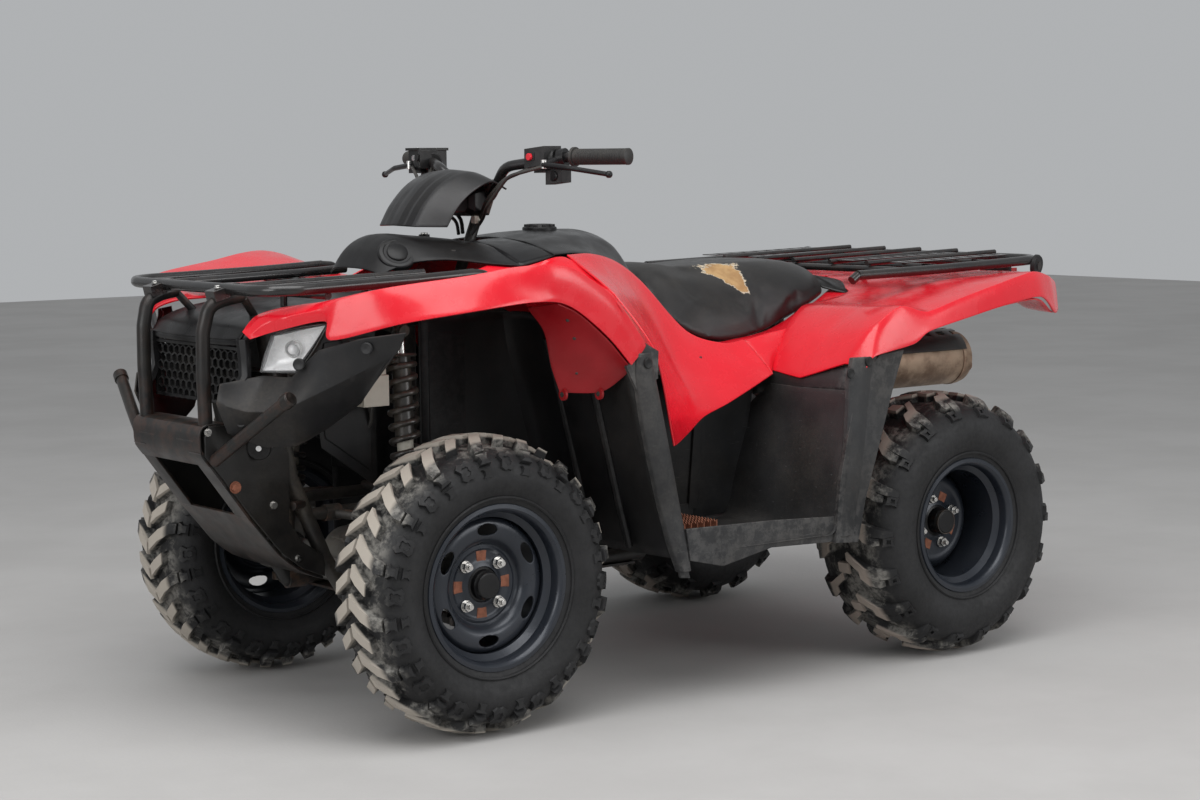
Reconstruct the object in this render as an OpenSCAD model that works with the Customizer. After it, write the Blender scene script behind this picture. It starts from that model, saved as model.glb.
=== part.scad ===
// Utility quad bike: rack-and-fender bodywork on a tube frame, four balloon tyres,
// independent front suspension and a live rear axle on a swingarm.
// X points forward, Y to the rider's left, Z up, millimetres.

/* [Overall] */
// Distance between the front and rear axles
wheelbase = 1266; // [1060:1:1520]
// Width over the rear fenders
body_w = 1140; // [1000:1:1300]
// Distance between the two front tyres' centre planes
front_track = 804; // [780:1:880]
// Distance between the two rear tyres' centre planes
rear_track = 864; // [800:1:960]

/* [Wheels] */
// Outside diameter of every tyre
tyre_d = 594; // [500:1:620]
// Width of a front tyre
front_tyre_w = 203; // [170:1:215]
// Width of a rear tyre
rear_tyre_w = 254; // [215:1:270]
// Diameter of a front rim at its bead seat
front_rim_d = 305; // [290:1:320]
// Diameter of a rear rim at its bead seat
rear_rim_d = 279; // [260:1:300]

/* [Frame] */
// Outside diameter of the frame tubes
frame_tube_d = 32; // [25:0.5:36]
// Outside diameter of the rack and guard tubes
rack_tube_d = 22; // [16:0.5:25]
// Thickness of a moulded body panel
panel_t = 4; // [3:0.5:6]
// Gap between two neighbouring body panels
panel_gap = 3; // [2:0.5:5]

/* [Steering] */
// Width over the handlebar's ends
bar_w = 800; // [700:1:860]
// Outside diameter of the handlebar tube
bar_d = 22; // [19:0.5:26]
// Lean of the steering column from upright, in degrees
column_lean = 21.8; // [18:0.2:24]
// Length of the pitman arm at the foot of the column
pitman_len = 65; // [50:1:75]
// Length of each knuckle's steering arm
steer_arm_len = 88; // [75:1:95]

/* [Fastenings] */
// Diameter of the tow hitch's ball hole
hitch_hole_d = 20; // [16:0.5:26]
// Diameter of the accessory holes in the front guard
guard_hole_d = 11; // [8:0.5:14]

/* [Hidden] */
$fn = 32;

// The body is drawn on a reference grid: x from the front axle, the wheelbase 1266 long,
// the fenders 1140 wide and the axles 297 above the ground. The functions carry a point of that
// grid to the real sizes above.
ref_wheelbase = 1266;
ref_body_w = 1140;
ref_tyre_r = 297;
ref_front = 470;
ref_rear = -1690;
front_x = (wheelbase - ref_wheelbase - ref_front - ref_rear) / 2;
rear_x = front_x - wheelbase;
tyre_r = tyre_d / 2;

function bx(x) = x > 0 ? front_x + x
    : x < -ref_wheelbase ? rear_x + x + ref_wheelbase
    : front_x + x * wheelbase / ref_wheelbase;
function by(y) = y * body_w / ref_body_w;
function bz(z) = z + tyre_r - ref_tyre_r;
function body_pt(p) = [bx(p.x), by(p.y), bz(p.z)];

// A point of a smooth curve through four neighbours, at t from 0 to 1 between b and c.
function curve_pt(a, b, c, d, t) =
    0.5 * ((2 * b) + (c - a) * t + (2 * a - 5 * b + 4 * c - d) * t * t
    + (3 * b - a - 3 * c + d) * t * t * t);
// A row of points made `fine` times closer by that curve.
function smooth_row(p, fine) = [
    for (i = [0:len(p) - 2], k = [0:fine - 1])
        curve_pt(i == 0 ? 2 * p[0] - p[1] : p[i - 1], p[i], p[i + 1],
            i + 2 > len(p) - 1 ? 2 * p[i + 1] - p[i] : p[i + 2], k / fine),
    p[len(p) - 1]];
function turned(net) = [for (j = [0:len(net[0]) - 1]) [for (row = net) row[j]]];
function smooth_net(net, along, across) =
    turned([for (row = turned([for (row = net) smooth_row(row, across)])) smooth_row(row, along)]);
function unit(v) = v / max(norm(v), 1e-6);
function net_normal(net, i, j) =
    let (a = net[min(i + 1, len(net) - 1)][j] - net[max(i - 1, 0)][j],
        b = net[i][min(j + 1, len(net[0]) - 1)] - net[i][max(j - 1, 0)])
    unit(cross(a, b));

// A panel: the net of points is its outer face, and its thickness goes along -normal.
// side is 1 or -1, whichever makes the thickness go inwards.
module panel(net, thick = panel_t, along = 2, across = 2, side = 1) {
    outer = smooth_net([for (row = net) [for (p = row) body_pt(p)]], along, across);
    inner = [for (i = [0:len(outer) - 1]) [for (j = [0:len(outer[0]) - 1])
        outer[i][j] - side * thick * net_normal(outer, i, j)]];
    shell_between(outer, inner, side);
}

// A closed solid between two nets of the same size.
module shell_between(outer, inner, side = 1) {
    n = len(outer);
    m = len(outer[0]);
    points = concat([for (row = outer) each row], [for (row = inner) each row]);
    function at(i, j, layer) = layer * n * m + i * m + j;
    function quad(a, b, c, d, flip) = flip ? [[a, b, c], [a, c, d]] : [[a, c, b], [a, d, c]];
    flip = side < 0;
    faces = concat(
        [for (i = [0:n - 2], j = [0:m - 2])
            each quad(at(i, j, 0), at(i, j + 1, 0), at(i + 1, j + 1, 0), at(i + 1, j, 0), !flip)],
        [for (i = [0:n - 2], j = [0:m - 2])
            each quad(at(i, j, 1), at(i, j + 1, 1), at(i + 1, j + 1, 1), at(i + 1, j, 1), flip)],
        [for (i = [0:n - 2]) each quad(at(i, 0, 0), at(i, 0, 1), at(i + 1, 0, 1), at(i + 1, 0, 0), flip)],
        [for (i = [0:n - 2]) each quad(at(i, m - 1, 0), at(i, m - 1, 1),
            at(i + 1, m - 1, 1), at(i + 1, m - 1, 0), !flip)],
        [for (j = [0:m - 2]) each quad(at(0, j, 0), at(0, j, 1), at(0, j + 1, 1), at(0, j + 1, 0), !flip)],
        [for (j = [0:m - 2]) each quad(at(n - 1, j, 0), at(n - 1, j, 1),
            at(n - 1, j + 1, 1), at(n - 1, j + 1, 0), flip)]);
    polyhedron(points, faces, convexity = 6);
}

// A straight round bar from a to b.
module bar(a, b, r) {
    v = b - a;
    translate(a)
        rotate([0, acos(v.z / norm(v)), atan2(v.y, v.x)])
            cylinder(h = norm(v), r = r);
}

// A bent tube through a list of points. At a gentle corner the bars stop just short of each
// other inside a round bead; at a sharp one they meet.
function corner(p, i) = acos(max(-1, min(1, unit(p[i] - p[i - 1]) * unit(p[i + 1] - p[i]))));
function short_by(p, i, r) = i < 1 || i > len(p) - 2 || corner(p, i) > 42 ? 0
    : r * tan(corner(p, i) / 2) + 0.3;
module tube(points, r) {
    p = points;
    for (i = [0:len(p) - 2]) {
        d = unit(p[i + 1] - p[i]);
        bar(p[i] + d * short_by(p, i, r), p[i + 1] - d * short_by(p, i + 1, r), r);
    }
    for (i = [1:1:len(p) - 2])
        translate(p[i]) sphere(r = bead_r(p, i, r), $fn = 20);
}
function bead_r(p, i, r) = norm([r, short_by(p, i, r)]) + 0.2;
// The same run as plain bars, for cutting the seats of parts that butt on it.
module bars(points, r) {
    for (i = [0:len(points) - 2]) bar(points[i], points[i + 1], r);
}
function body_pts(points) = [for (p = points) body_pt(p)];
module both_sides() {
    children();
    mirror([0, 1, 0]) children();
}

// A plate whose outline is in the XZ plane, from y to y + thick.
module side_plate(outline, y, thick) {
    translate([0, y + thick, 0])
        rotate([90, 0, 0])
            linear_extrude(thick)
                polygon([for (p = outline) [p.x, p.z]]);
}

// ---- steering geometry ----
column_r = 12;
column_foot_z = bz(345);
column_x0 = bx(-38);
up_axis = [-sin(column_lean), 0, cos(column_lean)];
back_axis = [-cos(column_lean), 0, -sin(column_lean)];
// A point of the column's axis at height z.
function on_column(z) = [column_x0 - (z - column_foot_z) * tan(column_lean), 0, z];
pitman_root = on_column(bz(395));
pitman_end = pitman_root + pitman_len * back_axis;
pitman_half = 15;
kingpin_y = front_track / 2 - 57;
axle_z = tyre_r;
wheel_y = front_track / 2;
rear_y = rear_track / 2;
knuckle_pin = [front_x - steer_arm_len, kingpin_y, axle_z + 48];
bar_clamp = on_column(bz(1040));

// ---- frame ----
ft = frame_tube_d / 2;
rt = rack_tube_d / 2;
rail_y = 115;
fit = 0.4;
side_rail = body_pts([[-1560, rail_y, 712], [-620, rail_y, 690], [-400, rail_y, 740],
    [-250, rail_y, 812], [300, rail_y, 790], [245, rail_y, 500], [170, rail_y, 330],
    [120, rail_y, 250], [-650, rail_y, 250], [-760, rail_y, 330], [-838, rail_y, 678]]);
arm_rail = body_pts([[209, rail_y, 420], [-200, rail_y, 420]]);
arm_post = body_pts([[-200, rail_y, 250], [-200, rail_y, 810]]);
shock_post = body_pts([[32, rail_y, 800], [32, 215, 786]]);
function cross_y(x, z) = body_pts([[x, -rail_y, z], [x, rail_y, z]]);

module frame_side() {
    tube(side_rail, ft);
    bar(arm_rail[0], arm_rail[1], ft * 0.8);
    bar(arm_post[0], arm_post[1], ft * 0.8);
    bar(shock_post[0], shock_post[1], ft * 0.75);
}
// Cuts for the parts that butt on one side of the frame, a hair larger than its tubes.
module rails_cut() {
    bars(side_rail, ft + fit);
    for (i = [1:len(side_rail) - 2])
        translate(side_rail[i]) sphere(r = bead_r(side_rail, i, ft) + fit, $fn = 20);
}
module frame_crosses(grow = 0) {
    tube(cross_y(-960, 698), ft * 0.75 + grow);
    tube(cross_y(-1560, 712), ft * 0.75 + grow);
    tube(cross_y(-600, 250), ft * 0.75 + grow);
    tube(cross_y(300, 790), ft * 0.75 + grow);
    tube(cross_y(245, 500), ft * 0.75 + grow);
    tube(body_pts([[-750, -rail_y, 322], [-750, rail_y, 322]]), ft * 0.75 + grow);
}
module column_bush(z) {
    bar(on_column(z) - 20 * up_axis, on_column(z) + 20 * up_axis, column_r + 12);
}
module frame() color("DimGray") {
    difference() {
        union() {
            both_sides() frame_side();
            frame_crosses();
            tube(cross_y(-76, 432), ft * 0.6);
            tube([[on_column(bz(806)).x, -rail_y, bz(806)], [on_column(bz(806)).x, rail_y, bz(806)]],
                ft * 0.6);
            column_bush(bz(440));
            column_bush(bz(806));
            // Hitch plate behind the axle with its ball hole, and its arm to the rear cross tube.
            translate([bx(-1560), -32, axle_z + 88]) cube([104, 64, 8]);
            translate([bx(-1478), -8, axle_z + 88]) cube([22, 16, bz(712) - axle_z - 88]);
            tube(cross_y(-1467, 708), ft * 0.6);
        }
        bar(on_column(bz(380)), on_column(bz(900)), column_r + fit);
        translate([bx(-1535), 0, axle_z + 80]) cylinder(h = 24, d = hitch_hole_d, $fn = 48);
    }
}

module engine() color("SlateGray") difference() {
    translate([bx(-690), -125, bz(250) + ft + fit])
        cube([bx(-405) - bx(-690), 250, 350]);
    both_sides() rails_cut();
}

module skid_plate() color("DarkSlateGray") difference() {
    translate([bx(-630), -128, bz(250) - ft - fit - 5])
        cube([bx(60) - bx(-630), 256, 5]);
    for (y = [-rail_y, rail_y])
        translate([front_x - 100, y, bz(250)]) rotate([0, 90, 0])
            cylinder(h = 50, r = 21 + fit, center = true);
}

module front_differential() color("SlateGray") {
    difference() {
        union() {
            bar([front_x, -76, axle_z], [front_x, 76, axle_z], 58);
            bar([front_x - 20, 0, axle_z - 10], [front_x - 150, 0, axle_z - 18], 32);
            both_sides() {
                bar([front_x, 60, axle_z], [front_x, kingpin_y - 24, axle_z], 10);
                bar([front_x, 76, axle_z], [front_x, 112, axle_z], 26);
                bar([front_x, kingpin_y - 62, axle_z], [front_x, kingpin_y - 26, axle_z], 27);
                bar([front_x + 34, 60, bz(250)], [front_x + 34, rail_y, bz(250)], 11);
            }
        }
        both_sides() rails_cut();
    }
}

lower_ball_z = axle_z - 85;
upper_ball_z = axle_z + 98;
function lower_leg(s) = [[front_x + s * 100, rail_y, bz(250)], [front_x, kingpin_y, lower_ball_z]];
function upper_leg(s) = [[front_x + s * 150, rail_y, bz(420)], [front_x, kingpin_y, upper_ball_z]];
module arm_set() {
    difference() {
        union() {
            for (s = [-1, 1]) {
                bar(lower_leg(s)[0], lower_leg(s)[1], 12);
                bar(upper_leg(s)[0], upper_leg(s)[1], 10);
                translate(lower_leg(s)[0]) rotate([0, 90, 0]) cylinder(h = 44, r = 21, center = true);
                translate(upper_leg(s)[0]) rotate([0, 90, 0]) cylinder(h = 36, r = 17, center = true);
            }
            translate([front_x, kingpin_y, lower_ball_z]) cylinder(h = 16, r = 19, center = true);
            translate([front_x, kingpin_y, upper_ball_z]) cylinder(h = 16, r = 17, center = true);
        }
        bars([for (i = [6:8]) side_rail[i]], ft + fit);
        translate(side_rail[7]) sphere(r = bead_r(side_rail, 7, ft) + fit, $fn = 20);
        bar(arm_rail[0], arm_rail[1], ft * 0.8 + fit);
        translate([front_x, kingpin_y, axle_z]) cylinder(h = 300, r = 8 + fit, center = true);
        translate([front_x, kingpin_y, lower_ball_z + 8])
            cylinder(h = upper_ball_z - lower_ball_z - 16, r = 24);
    }
}
module front_arms() color("DimGray") both_sides() arm_set();

shock_foot = [front_x + 44, 250, bz(229)];
shock_head = [front_x + 32, 196, bz(789)];
rear_shock_foot = [bx(-1130), 0, axle_z + 3];
rear_shock_head = [bx(-960), 0, bz(698)];
function between(a, b, t) = a + (b - a) * t;
// A damper from a to b with a collar at each end of its spring.
module damper(a, b, t0, t1) {
    bar(a, b, 15);
    bar(between(a, b, t0) - unit(b - a) * 6, between(a, b, t0), 33);
    bar(between(a, b, t1), between(a, b, t1) + unit(b - a) * 6, 33);
}
module spring_sleeve(a, b, t0, t1) {
    difference() {
        bar(between(a, b, t0) + unit(b - a) * fit, between(a, b, t1) - unit(b - a) * fit, 32);
        bar(a, b, 21);
    }
}
module shock_absorbers() color("Gray") {
    both_sides() difference() {
        damper(shock_foot, shock_head, 0.37, 0.9);
        bar(shock_post[0], shock_post[1], ft * 0.75 + fit);
        bar(lower_leg(1)[0], lower_leg(1)[1], 12 + fit);
    }
    difference() {
        damper(rear_shock_foot, rear_shock_head, 0.26, 0.86);
        frame_crosses(fit);
        bar([rear_shock_foot.x, -75, rear_shock_foot.z], [rear_shock_foot.x, 75, rear_shock_foot.z],
            14 + fit);
    }
}
module springs() color("Firebrick") {
    both_sides() spring_sleeve(shock_foot, shock_head, 0.37, 0.9);
    spring_sleeve(rear_shock_foot, rear_shock_head, 0.26, 0.86);
}

module rear_swingarm() color("DimGray") {
    difference() {
        union() {
            both_sides()
                bar([bx(-725), 72, bz(305)], [rear_x + 20, 72, axle_z], 15);
            bar([bx(-725), -98.5, bz(304)], [bx(-725), 98.5, bz(304)], 15);
            bar([rear_shock_foot.x, -75, rear_shock_foot.z], [rear_shock_foot.x, 75, rear_shock_foot.z],
                14);
            bar([rear_x, -98, axle_z], [rear_x, 98, axle_z], 40);
            bar([rear_x, -62, axle_z], [rear_x, -14, axle_z], 82);
            bar([bx(-740), -38, bz(303)], [rear_x + 60, -38, axle_z], 26);
        }
        bar([rear_x, -140, axle_z], [rear_x, 140, axle_z], 18 + fit);
        both_sides() rails_cut();
        tube(body_pts([[-750, -rail_y, 322], [-750, rail_y, 322]]), ft * 0.75 + fit);
    }
}

// ---- front guard ----
guard_r = rt + 3;
guard_stay = [[bx(352), by(134), bz(862)], [bx(300), rail_y, bz(800)]];
module guard_tubes(grow = 0) {
    tube(body_pts([[434, 120, 619], [436, 122, 800], [424, 126, 850], [355, 134, 868]]), guard_r + grow);
    bar(body_pt([428, 139, 549]), body_pt([377, 348, 685]), guard_r - 2 + grow);
}
module front_guard() color("DimGray") {
    difference() {
        union() {
            both_sides() {
                guard_tubes();
                // Side cheek from the nose down to the belly.
                side_plate(body_pts([[438, 0, 618], [448, 0, 598], [448, 0, 560], [412, 0, 515],
                    [352, 0, 436], [284, 0, 355], [236, 0, 318], [184, 0, 296], [185, 0, 338],
                    [235, 0, 372], [264, 0, 415], [261, 0, 508], [262, 0, 551], [300, 0, 600],
                    [398, 0, 618]]), by(136), 6);
                // Rail beside the opening in the nose.
                side_plate(body_pts([[457, 0, 567], [353, 0, 427], [348, 0, 431], [452, 0, 571]]),
                    by(88), by(49));
                bar(guard_stay[0], guard_stay[1], 8);
                bar([bx(255), by(139), bz(445)], [bx(222), rail_y, bz(445)], 9);
            }
            // Nose band across the top, and belly plate across the bottom.
            side_plate(body_pts([[398, 0, 622], [452, 0, 622], [459, 0, 602], [455, 0, 560],
                [437, 0, 538], [432, 0, 542], [449, 0, 562], [453, 0, 601], [448, 0, 616],
                [398, 0, 616]]), -by(138), 2 * by(138));
            side_plate(body_pts([[357, 0, 432], [288, 0, 350], [239, 0, 312], [186, 0, 290],
                [186, 0, 296], [236, 0, 318], [284, 0, 355], [352, 0, 436]]),
                -by(138), 2 * by(138));
            bar([bx(290), -by(138), bz(372)], [bx(290), by(138), bz(372)], 9);
        }
        both_sides() rails_cut();
        both_sides() bar(body_pt([388, 130, 882]), body_pt([250, 134, 886]), rt - 2 + fit);
        both_sides() bar(body_pt([388, 235, 882]), body_pt([388, 0, 882]), rt + fit);
        for (s = [-1, 1])
            translate([bx(428), s * 60, bz(610)])
                cylinder(h = 20, d = guard_hole_d, $fn = 40);
    }
}

// ---- body panels: nets run rearwards by row, and outwards or downwards by column ----
fascia_net = [
    [[394, 0, 782], [392, 100, 782], [386, 178, 784]],
    [[370, 0, 812], [368, 100, 811], [362, 180, 808]],
    [[300, 0, 832], [300, 100, 831], [300, 182, 828]],
    [[170, 0, 850], [170, 100, 849], [170, 184, 846]],
    [[30, 0, 862], [30, 100, 861], [30, 186, 858]]];
fender_net = [
    [[390, 196, 800], [388, 204, 796], [386, 210, 792], [384, 215, 788]],
    [[362, 200, 828], [366, 230, 829], [362, 250, 822], [350, 262, 806]],
    [[318, 205, 840], [316, 282, 850], [308, 336, 846], [297, 350, 826]],
    [[284, 203, 843], [282, 300, 854], [278, 388, 868], [300, 370, 790]],
    [[228, 200, 846], [226, 325, 856], [222, 445, 886], [212, 474, 821]],
    [[75, 198, 862], [75, 345, 872], [67, 498, 905], [90, 528, 840]],
    [[-15, 198, 866], [-15, 350, 880], [-15, 518, 918], [-35, 543, 853]],
    [[-86, 198, 870], [-86, 352, 884], [-86, 543, 922], [-105, 548, 851]],
    [[-139, 205, 868], [-142, 352, 880], [-146, 546, 909], [-156, 549, 828]],
    [[-205, 240, 850], [-222, 350, 838], [-240, 546, 852], [-226, 549, 775]],
    [[-262, 300, 800], [-290, 380, 770], [-322, 543, 757], [-280, 549, 720]]];
side_guard_net = [
    [[428, 168, 702], [434, 166, 665], [410, 164, 606]],
    [[352, 200, 714], [395, 214, 650], [352, 206, 578]],
    [[322, 264, 714], [352, 270, 652], [300, 238, 580]],
    [[304, 334, 770], [305, 332, 690], [246, 266, 614]],
    [[264, 425, 796], [248, 402, 735], [205, 320, 664]],
    [[214, 496, 808], [215, 478, 778], [226, 450, 744]]];
cover_net = [
    [[-352, 250, 925], [-356, 400, 850], [-384, 500, 733], [-448, 478, 538]],
    [[-430, 232, 925], [-435, 330, 840], [-452, 415, 720], [-484, 452, 540]],
    [[-520, 202, 905], [-520, 270, 820], [-530, 340, 700], [-560, 398, 552]],
    [[-600, 192, 858], [-605, 235, 780], [-615, 285, 680], [-640, 353, 574]],
    [[-700, 222, 748], [-705, 245, 715], [-715, 285, 650], [-725, 333, 594]],
    [[-800, 232, 716], [-803, 255, 690], [-810, 295, 655], [-815, 323, 626]],
    [[-862, 232, 720], [-864, 260, 700], [-866, 295, 672], [-868, 320, 648]]];
tank_net = [
    [[-332, 0, 957], [-331, 130, 950], [-330, 236, 926]],
    [[-400, 0, 967], [-402, 130, 956], [-405, 224, 926]],
    [[-500, 0, 970], [-502, 105, 957], [-505, 190, 910]],
    [[-590, 0, 963], [-592, 95, 936], [-594, 168, 862]],
    [[-648, 0, 915], [-642, 82, 888], [-634, 148, 826]]];
rear_net = [
    [[-888, 292, 656], [-880, 400, 645], [-900, 520, 682], [-916, 569, 676]],
    [[-965, 262, 741], [-955, 400, 735], [-958, 545, 757], [-942, 568, 700]],
    [[-1040, 232, 785], [-1040, 400, 788], [-1032, 552, 800], [-1056, 569, 720]],
    [[-1110, 214, 792], [-1110, 400, 795], [-1110, 557, 785], [-1105, 569, 745]],
    [[-1212, 208, 812], [-1212, 400, 815], [-1212, 558, 809], [-1222, 567, 768]],
    [[-1341, 2, 836], [-1341, 380, 838], [-1341, 555, 837], [-1350, 562, 790]],
    [[-1481, 2, 842], [-1481, 380, 846], [-1485, 528, 858], [-1498, 542, 803]],
    [[-1590, 2, 846], [-1590, 380, 850], [-1570, 500, 845], [-1572, 518, 762]],
    [[-1645, 2, 840], [-1650, 370, 842], [-1636, 462, 828], [-1618, 488, 766]]];
footwell_net = [
    [[-268, 205, 738], [-270, 380, 738], [-292, 545, 738]],
    [[-300, 200, 660], [-300, 380, 660], [-306, 546, 662]],
    [[-342, 195, 520], [-342, 380, 520], [-346, 548, 520]],
    [[-384, 190, 385], [-384, 380, 385], [-386, 550, 385]],
    [[-424, 190, 332], [-424, 380, 331], [-426, 553, 330]],
    [[-500, 190, 324], [-500, 380, 324], [-500, 555, 324]],
    [[-640, 190, 324], [-640, 380, 324], [-640, 558, 324]],
    [[-770, 190, 324], [-770, 380, 324], [-770, 560, 324]],
    [[-826, 190, 336], [-828, 380, 334], [-830, 562, 332]],
    [[-846, 200, 440], [-846, 380, 440], [-850, 563, 440]],
    [[-872, 225, 560], [-872, 390, 560], [-878, 564, 560]],
    [[-884, 300, 628], [-884, 400, 626], [-894, 562, 628]]];
pod_net = [
    [[20, 0, 905], [18, 60, 902], [8, 96, 892]],
    [[-10, 0, 945], [-12, 70, 938], [-18, 108, 905]],
    [[-50, 0, 970], [-52, 72, 960], [-55, 112, 915]],
    [[-120, 0, 966], [-120, 80, 957], [-120, 150, 920]],
    [[-200, 0, 958], [-200, 100, 950], [-200, 196, 910]],
    [[-250, 0, 950], [-252, 110, 944], [-254, 226, 905]]];
cowl_net = [
    [[-88, 0, 990], [-100, 60, 988], [-150, 108, 987]],
    [[-110, 0, 1040], [-120, 62, 1038], [-168, 110, 1030]],
    [[-160, 0, 1090], [-170, 64, 1084], [-205, 112, 1066]],
    [[-225, 0, 1104], [-230, 66, 1098], [-255, 110, 1080]],
    [[-300, 0, 1082], [-300, 64, 1078], [-305, 104, 1062]]];
// Half nets run out from the middle; whole() mirrors them to both sides.
function whole(net) = [for (row = net) concat(
    [for (j = [len(row) - 1:-1:1]) [row[j].x, -row[j].y, row[j].z]], row)];

module front_fascia() color("DarkSlateGray") {
    difference() {
        union() {
            panel(whole(fascia_net), side = -1);
            for (s = [-1, 1]) bar(body_pt([200, s * 60, 844]), body_pt([250, s * rail_y, 792]), 7);
        }
        both_sides() rails_cut();
        rack_posts(3);
        both_sides() bar(guard_stay[0], guard_stay[1], 11);
    }
}
module grille() color("DarkSlateGray") difference() {
    union() {
        translate([bx(376), -by(176), bz(656)]) cube([6, 2 * by(176), 112]);
        for (s = [-1, 1]) bar(body_pt([380, s * 150, 700]), body_pt([285, s * rail_y, 712]), 7);
    }
    both_sides() rails_cut();
}
lamp_net = [
    [[350, 234, 796], [354, 214, 760], [356, 197, 722]],
    [[318, 286, 808], [326, 256, 764], [338, 232, 722]],
    [[290, 338, 818], [300, 304, 775], [318, 266, 722]]];
module headlights() color("WhiteSmoke") difference() {
    both_sides() {
        panel(lamp_net, thick = 30, side = -1);
        bar(body_pt([312, 240, 752]), body_pt([288, rail_y, 752]), 8);
    }
    both_sides() rails_cut();
}
module front_fenders() color("Crimson") difference() {
    both_sides() {
        panel(fender_net, side = -1);
        bar(body_pt([110, 228, 862]), body_pt([110, rail_y, 790]), 8);
        bar(body_pt([-120, 240, 872]), body_pt([-120, rail_y, 806]), 8);
    }
    both_sides() rails_cut();
}
module front_side_guards() color("DarkSlateGray") difference() {
    both_sides() {
        panel(side_guard_net, side = -1);
        bar(body_pt([364, 238, 680]), body_pt([280, rail_y, 690]), 8);
    }
    both_sides() rails_cut();
}
module front_inner_guards() color("DarkSlateGray") difference() {
    both_sides() {
        side_plate(body_pts([[75, 0, 470], [205, 0, 560], [225, 0, 700], [205, 0, 792], [75, 0, 802]]),
            by(170), 3);
        side_plate(body_pts([[-30, 0, 470], [-230, 0, 420], [-245, 0, 700], [-235, 0, 785],
            [-30, 0, 812]]), by(170), 3);
        bar(body_pt([140, 171, 790]), body_pt([140, rail_y, 796]), 8);
        bar(body_pt([-200, 171, 600]), body_pt([-200, rail_y, 600]), 8);
    }
    both_sides() rails_cut();
    both_sides() bar(arm_post[0], arm_post[1], ft * 0.8 + fit);
}
module footwells() color("DarkSlateGray") difference() {
    both_sides() {
        panel(footwell_net, side = -1);
        // Raised outer kerb, and the two outer flares of the mudguards.
        side_plate(body_pts([[-428, 0, 312], [-517, 0, 291], [-652, 0, 315], [-832, 0, 308],
            [-838, 0, 362], [-652, 0, 372], [-418, 0, 378]]), by(548), 8);
        side_plate(body_pts([[-290, 0, 738], [-307, 0, 668], [-345, 0, 524], [-378, 0, 379],
            [-411, 0, 277], [-436, 0, 274], [-399, 0, 397], [-379, 0, 542], [-359, 0, 644],
            [-334, 0, 738]]), by(539), 7);
        side_plate(body_pts([[-830, 0, 308], [-844, 0, 440], [-874, 0, 567], [-890, 0, 638],
            [-958, 0, 700], [-1030, 0, 708], [-995, 0, 623], [-959, 0, 517], [-914, 0, 391],
            [-894, 0, 303]]), by(556), 7);
        bar(body_pt([-388, 195, 378]), body_pt([-370, rail_y, 250]), 9);
        bar(body_pt([-770, 195, 320]), body_pt([-762, rail_y, 338]), 9);
    }
    both_sides() rails_cut();
}
module footpegs() color("Gray") both_sides() difference() {
    union() {
        for (k = [0:5]) translate([bx(-645) + k * 18, by(215), bz(324)]) cube([7, by(395) - by(215), 22]);
        translate([bx(-645), by(225), bz(324)]) cube([97, 10, 12]);
        translate([bx(-645), by(375), bz(324)]) cube([97, 10, 12]);
    }
}
module side_covers() color("Crimson") difference() {
    both_sides() {
        panel(cover_net, side = -1);
        bar(body_pt([-440, 320, 830]), body_pt([-380, rail_y, 750]), 8);
        bar(body_pt([-840, 262, 700]), body_pt([-840, rail_y, 697]), 8);
    }
    both_sides() rails_cut();
}
module tank_cover() color("DarkSlateGray") difference() {
    union() {
        panel(whole(tank_net), side = -1);
        for (s = [-1, 1]) bar(body_pt([-520, s * 100, 945]), body_pt([-520, s * rail_y, 712]), 9);
    }
    both_sides() rails_cut();
}
module fuel_cap() color("DimGray")
    translate([bx(-470), 0, bz(969) + 1.5]) {
        cylinder(h = 16, r = 38);
        translate([0, 0, 16]) cylinder(h = 9, r1 = 34, r2 = 28);
    }
module steering_pod() color("DarkSlateGray") difference() {
    union() {
        panel(whole(pod_net), side = -1);
        for (s = [-1, 1]) bar(body_pt([-170, s * 100, 950]), body_pt([-170, s * rail_y, 809]), 8);
    }
    both_sides() rails_cut();
}
seat_top = [
    [[-666, 0, 868], [-667, 78, 862], [-664, 128, 845], [-656, 160, 815]],
    [[-715, 0, 888], [-717, 98, 880], [-718, 150, 840], [-716, 198, 758]],
    [[-800, 0, 880], [-800, 108, 872], [-799, 170, 830], [-797, 208, 728]],
    [[-900, 0, 882], [-900, 110, 876], [-900, 175, 830], [-900, 208, 732]],
    [[-1015, 0, 886], [-1015, 113, 880], [-1015, 178, 838], [-1018, 202, 760]],
    [[-1120, 0, 883], [-1120, 112, 875], [-1120, 172, 846], [-1119, 196, 800]],
    [[-1192, 0, 868], [-1190, 98, 862], [-1184, 148, 848], [-1176, 176, 820]]];
seat_bottom = [for (row = seat_top) [for (p = row) [p.x, p.y * 0.97, row[3].z - 8]]];
module seat() color("DimGray") difference() {
    union() {
        top = smooth_net([for (row = whole(seat_top)) [for (p = row) body_pt(p)]], 2, 2);
        low = smooth_net([for (row = whole(seat_bottom)) [for (p = row) body_pt(p)]], 2, 2);
        shell_between(top, low, -1);
        for (s = [-1, 1]) {
            bar(body_pt([-760, s * rail_y, 760]), body_pt([-760, s * rail_y, 694]), 10);
            bar(body_pt([-1080, s * rail_y, 790]), body_pt([-1080, s * rail_y, 700]), 10);
        }
    }
    both_sides() rails_cut();
}
module rear_fenders() color("Crimson") difference() {
    both_sides() {
        panel(rear_net, side = -1);
        bar(body_pt([-985, 275, 745]), body_pt([-985, rail_y, 702]), 9);
        bar(body_pt([-1440, 140, 840]), body_pt([-1440, rail_y, 712]), 9);
    }
    both_sides() rails_cut();
    rack_posts(3);
}

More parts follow.
